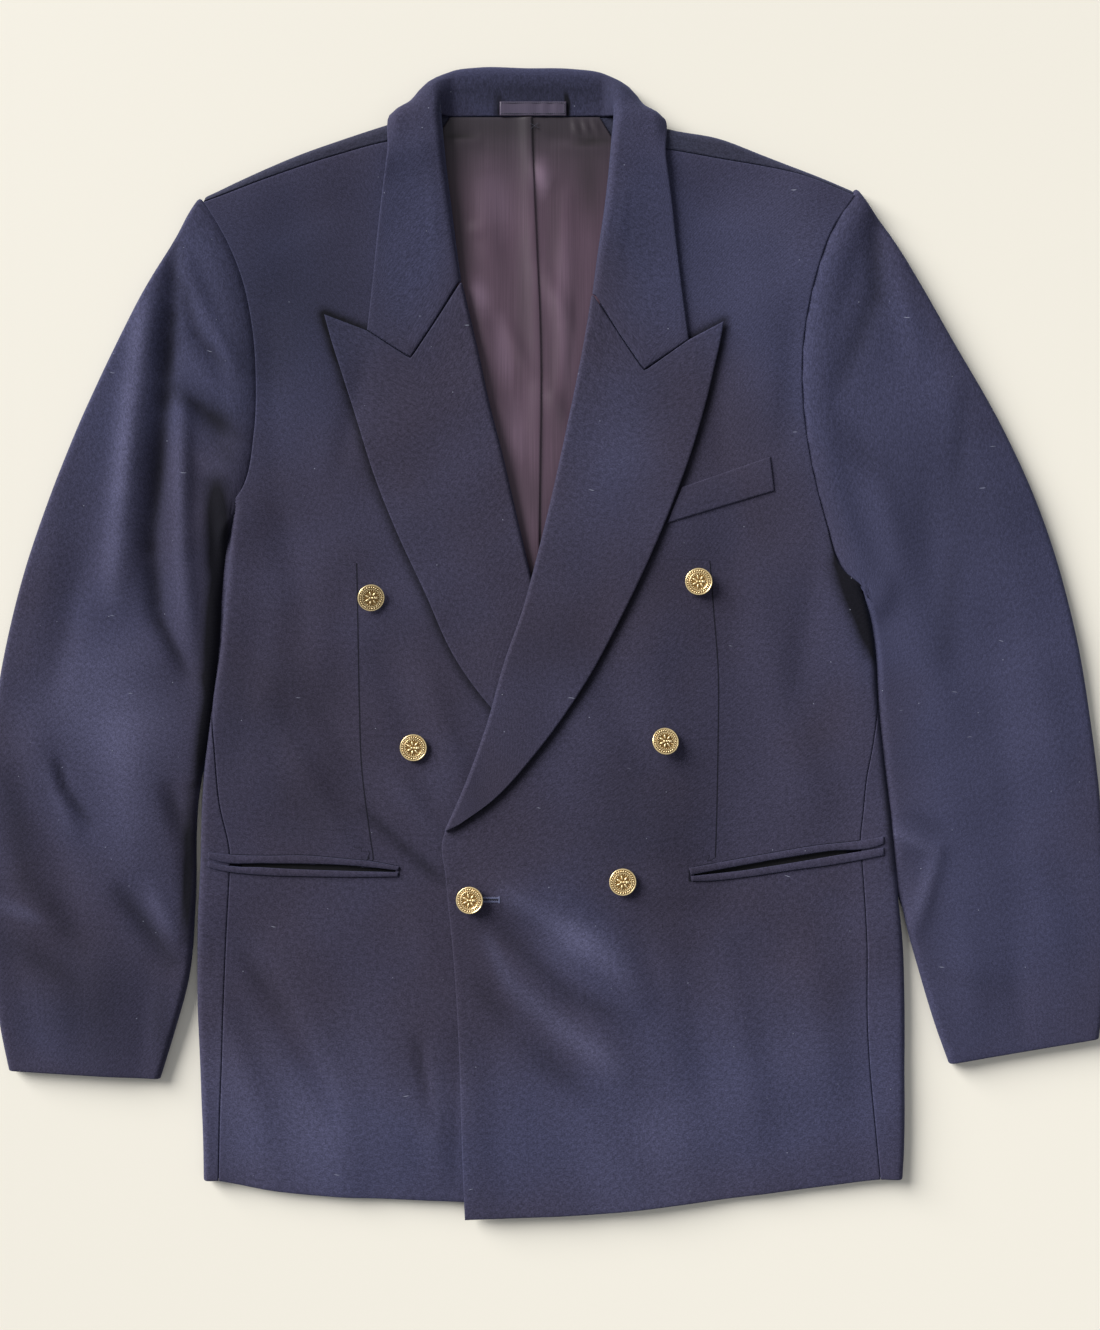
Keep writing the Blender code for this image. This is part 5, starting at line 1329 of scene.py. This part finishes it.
# %% A tree that sets beads along a path
def bead_tree():
    tree = bpy.data.node_groups.new("beads along a path", "GeometryNodeTree")
    face = tree.interface
    face.new_socket("Path", in_out="INPUT", socket_type="NodeSocketGeometry")
    for name in ("Spacing", "Length", "Width", "Lean"):
        face.new_socket(name, in_out="INPUT", socket_type="NodeSocketFloat")
    face.new_socket("Finish", in_out="INPUT", socket_type="NodeSocketMaterial")
    face.new_socket("Beads", in_out="OUTPUT", socket_type="NodeSocketGeometry")
    given = add(tree, "NodeGroupInput").outputs
    line = add(tree, "GeometryNodeMeshToCurve", Mesh=given["Path"])
    even = add(tree, "GeometryNodeResampleCurve", {"mode": "LENGTH"},
               Curve=line.outputs["Curve"], Length=given["Spacing"])
    bead = add(tree, "GeometryNodeMeshIcoSphere", Radius=0.5, Subdivisions=2)
    size = add(tree, "ShaderNodeCombineXYZ", X=given["Length"], Y=given["Width"],
               Z=given["Width"])
    way = add(tree, "GeometryNodeInputTangent").outputs["Tangent"]
    turned = add(tree, "FunctionNodeAlignRotationToVector", {"axis": "X", "pivot_axis": "Z"},
                 Vector=way)
    lean = add(tree, "ShaderNodeCombineXYZ", Z=given["Lean"])
    leant = add(tree, "FunctionNodeRotateRotation", {"rotation_space": "LOCAL"},
                Rotation=turned.outputs["Rotation"], Rotate_By=lean.outputs["Vector"])
    beads = add(tree, "GeometryNodeInstanceOnPoints", Points=even.outputs["Curve"],
                Instance=bead.outputs["Mesh"], Rotation=leant.outputs["Rotation"],
                Scale=size.outputs["Vector"])
    real = add(tree, "GeometryNodeRealizeInstances", Geometry=beads.outputs["Instances"])
    done = add(tree, "GeometryNodeSetMaterial", Geometry=real.outputs["Geometry"],
               Material=given["Finish"])
    made = add(tree, "NodeGroupOutput")
    tree.links.new(done.outputs["Geometry"], made.inputs["Beads"])
    return tree


BEADS = bead_tree()


def beads_along(name, paths, spacing, length, width, lean, finish):
    """Beads along paths of points in millimetres, as one plain mesh."""
    points, edges = [], []
    for path in paths:
        first = len(points)
        points += [tuple(np.array(p) * MM) for p in path]
        edges += [(k, k + 1) for k in range(first, len(points) - 1)]
    line = bpy.data.meshes.new(name + "_path")
    line.from_pydata(points, edges, [])
    thing = put(name, line)
    maker = thing.modifiers.new("beads", "NODES")
    maker.node_group = BEADS
    sockets = {s.name: s.identifier for s in BEADS.interface.items_tree
               if s.in_out == "INPUT"}
    for key, value in (("Spacing", spacing * MM), ("Length", length * MM),
                       ("Width", width * MM), ("Lean", lean), ("Finish", finish)):
        maker[sockets[key]] = value
    ready = thing.evaluated_get(bpy.context.evaluated_depsgraph_get())
    thing.data = bpy.data.meshes.new_from_object(ready)
    thing.modifiers.remove(maker)
    count = len(thing.data.polygons)
    thing.data.polygons.foreach_set("use_smooth", np.ones(count, bool))
    print(name, "triangles", count)
    return thing

# %% [markdown]
# ## Buttons
# A blazer button is stamped from thin brass and gilt: a domed cap with a raised rim, a rope
# ring inside it and a small emblem. The emblem here is a plain eight-petalled rosette. The
# cap is one profile turned round, with a dark patina in its hollows, and the beads of the
# rope and the petals come from the tree above. Two of them tilt on their shanks.

# %% Gilt brass
gilt = new_material("polished gilt brass", "f3dba6", 0.28, Metallic=0.65)[0]
patina = new_material("brass with brown patina in the hollows", "8d6c3a", 0.45,
                      Metallic=0.6)[0]
gilt_relief = new_material("gilt brass relief, a little worn", "f5dfae", 0.32,
                           Metallic=0.6)[0]

# Radius, height, and whether the ring up to the next row is a hollow.
CAP = [
    (0.0, 0.0, 0), (1.7, 0.0, 0), (1.7, 1.5, 0), (7.6, 1.9, 0), (9.3, 2.5, 0), (9.75, 3.1, 0),
    (9.7, 3.6, 0), (9.35, 3.95, 0), (8.95, 3.9, 0), (8.65, 3.55, 1), (7.0, 3.6, 1),
    (6.75, 3.95, 0), (6.35, 4.0, 0), (6.1, 3.65, 1), (4.0, 3.8, 1), (2.0, 3.95, 1), (0.0, 4.0, 1)]
CAP_SIDES, CAP_RADIUS = 64, 9.7
CAP_CLEAR = 0.2          # between the shank's foot and the cloth
ROPE_AT, ROPE_BEADS, ROPE_LEVEL = 7.8, 30, 3.75
PETAL_AT, PETALS, PETAL_LEVEL = 3.3, 8, 3.95
DOT_AT, DOTS, DOT_LEVEL = 5.45, 22, 3.75
BOSS = 1.0
# Lean of each button on its shank: degrees, and the way in which it leans down.
LEANS = [(20, (0.8, -0.6)), (3, (-1, 0)), (5, (0, -1)), (19, (0.7, 0.7)),
         (6, (-1, 0)), (4, (1, 0))]


def button_frame(number):
    """Origin and three axes of a button, leant over on its shank."""
    x, y = BUTTONS[number]
    surface = body if number in BUTTON_ON_RIGHT else upper
    degrees, way = LEANS[number]
    way = Vector((*way, 0)).normalized()
    up = (Vector((0, 0, 1)) + way * math.tan(math.radians(degrees))).normalized()
    right = Vector((1, 0, 0)) - up * up.x
    right.normalize()
    drop = CAP_RADIUS / 2 * math.sin(math.radians(degrees))
    foot = Vector((x, y, float(surface(x, y)) + CLOTH / 2 + CAP_CLEAR + drop))
    return foot, right, up.cross(right), up


def in_frame(frame_of_button, points):
    foot, right, forward, up = frame_of_button
    return [foot + right * x + forward * y + up * z for x, y, z in points]


def ring_path(radius, level, count):
    turn = np.linspace(0, 2 * math.pi, count + 1)
    return [(radius * math.cos(a), radius * math.sin(a), level) for a in turn]


# %% Caps
def cap(name, place):
    points, faces, hollows, rings = [], [], [], []
    for radius, height, _ in CAP:
        count = CAP_SIDES if radius else 1
        rings.append((len(points), count))
        points += ring_path(radius, height, CAP_SIDES)[:count]
    for (a, na), (b, nb), row in zip(rings, rings[1:], CAP):
        for k in range(CAP_SIDES):
            j = (k + 1) % CAP_SIDES
            quad = [a + (k if na > 1 else 0), a + (j if na > 1 else 0),
                    b + (j if nb > 1 else 0), b + (k if nb > 1 else 0)]
            faces.append(list(dict.fromkeys(quad)))
            hollows.append(row[2])
    mesh = bpy.data.meshes.new(name)
    mesh.from_pydata([tuple(p * MM) for p in in_frame(place, points)], [], faces)
    mesh.materials.append(gilt)
    mesh.materials.append(patina)
    mesh.polygons.foreach_set("material_index", hollows)
    mesh.polygons.foreach_set("use_smooth", np.ones(len(faces), bool))
    return put(name, mesh)


button_frames = [button_frame(k) for k in range(len(BUTTONS))]
caps = [cap(f"button_{k + 1}_cap", place) for k, place in enumerate(button_frames)]

# %% Rope, petals and dots
trims = []
for name, radius, count, level, long, wide, lean in (
        ("button_ropes", ROPE_AT, ROPE_BEADS, ROPE_LEVEL, 1.75, 0.85, 0.7),
        ("button_petals", PETAL_AT, PETALS, PETAL_LEVEL, 3.3, 1.35, math.pi / 2),
        ("button_dots", DOT_AT, DOTS, DOT_LEVEL, 0.75, 0.75, 0.0),
        ("button_bosses", BOSS, 3, PETAL_LEVEL, 2.0, 1.6, 0.0)):
    paths = [in_frame(place, ring_path(radius, level, max(count, 24)))
             for place in button_frames]
    trims.append(beads_along(name, paths, 2 * math.pi * radius / count, long, wide, lean,
                             gilt_relief))

# %% [markdown]
# ## Thread work
# Only one buttonhole shows, at the fastened button: two rows of purl stitches along a slit,
# closed by a bar. The hanger is sewn down along its edges with short back stitches, and one
# small tack holds the lining's pleat together at the neck.

# %% Stitches
navy_thread = new_material("navy polyester thread", "24253a", 0.6, Sheen_Weight=0.2)[0]
twist = new_material("blue buttonhole twist", "5d6284", 0.5, Sheen_Weight=0.3)[0]
# The buttonhole's slit is a row of near-black beads: painted shade in the cut between the purls.
slit_shade = new_material("dark slit of a buttonhole", "0b0b12", 0.95)[0]
HOLE = (-63.0, -35.0, -184.0)          # x from, x to, y of the slit
PURL_OUT = 1.3


def raised(points, surface, lift):
    """Points of the plan, lifted onto a surface."""
    return [(x, y, float(surface(x, y)) + lift) for x, y in points]


ON_TOP = CLOTH / 2 + 0.05
x0, x1, y = HOLE
rows = [raised([(x, y + out) for x in np.linspace(x0, x1, 15)], upper, ON_TOP)
        for out in (PURL_OUT, -PURL_OUT, 0)]
across = raised([(x1 + 0.9, y + v) for v in np.linspace(-2.2, 2.2, 6)], upper, ON_TOP)
purls = beads_along("buttonhole_purls", rows[:2], 0.7, 2.0, 0.62, math.pi / 2, twist)
slit = beads_along("buttonhole_slit", rows[2:], 0.8, 1.3, 0.8, 0.0, slit_shade)
bar = beads_along("buttonhole_bar", [across], 0.5, 1.5, 0.6, math.pi / 2, twist)

x0, x1, y0, y1 = HANGER
corners = [(x0 + 0.4, y0), (x1 - 0.4, y0), (x1 - 0.4, y1 - 2), (x0 + 0.4, y1 - 2),
           (x0 + 0.4, y0)]
edge = raised(along(corners, np.linspace(0, 1, 80), False), lambda x, y: stand(y),
              CLOTH / 2 + SATIN + 0.35)
hanger_stitches = beads_along("hanger_stitches", [edge], 1.5, 1.5, 0.6, 0.0, navy_thread)
crossed = [raised(ends, lambda x, y: satin_height(x, y, -1), SATIN / 2 + 0.1)
           for ends in ([(-11.5, 374), (-6.5, 371.5)], [(-11.0, 371), (-6.8, 374.5)])]
tack = beads_along("pleat_tack", crossed, 1.2, 1.5, 0.45, 0.0, navy_thread)

# %% [markdown]
# ## What each piece stands for
# Every cloth piece hangs from the root and takes the place of its plain solid, which is hidden.
# The size of its cut is looked up, but nothing uses it.

RESTS_ON = {"front_right": "lining_right", "front_left": "front_right",
            "side_right": "back_right", "side_left": "back_left",
            "back_right": "side_right", "back_left": "side_left",
            "lapel_right": "front_right", "lapel_left": "front_left",
            "collar": "front_right", "topsleeve_right": "undersleeve_right",
            "undersleeve_right": "topsleeve_right", "topsleeve_left": "undersleeve_left",
            "undersleeve_left": "topsleeve_left", "lining_right": "back_right",
            "lining_left": "back_left", "hanger": "collar", "welt": "front_left",
            "jet_right_upper": "front_right", "jet_right_lower": "front_right",
            "jet_left_upper": "front_left", "jet_left_lower": "front_left",
            "bag_right": "lining_right", "bag_left": "lining_left"}
NARROWEST = 10 * MM      # a jet shows 5 mm of a strip that is cut wider and turned under
for node, support in RESTS_ON.items():
    width, length, area = cuts[node + "_cloth"]
    length = max(length, NARROWEST)
    piece = bpy.data.objects[node + "_cloth"]
    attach(piece, "root")
    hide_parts(node)

# %% Hide the plain buttons, and hang buttons and thread from the root
for k, piece in enumerate(caps):
    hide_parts(f"button_{k + 1}")
for slot, pieces in (("gold", caps + trims),
                     ("wool", [purls, slit, bar, hanger_stitches, tack])):
    for piece in pieces:
        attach(piece, "root")
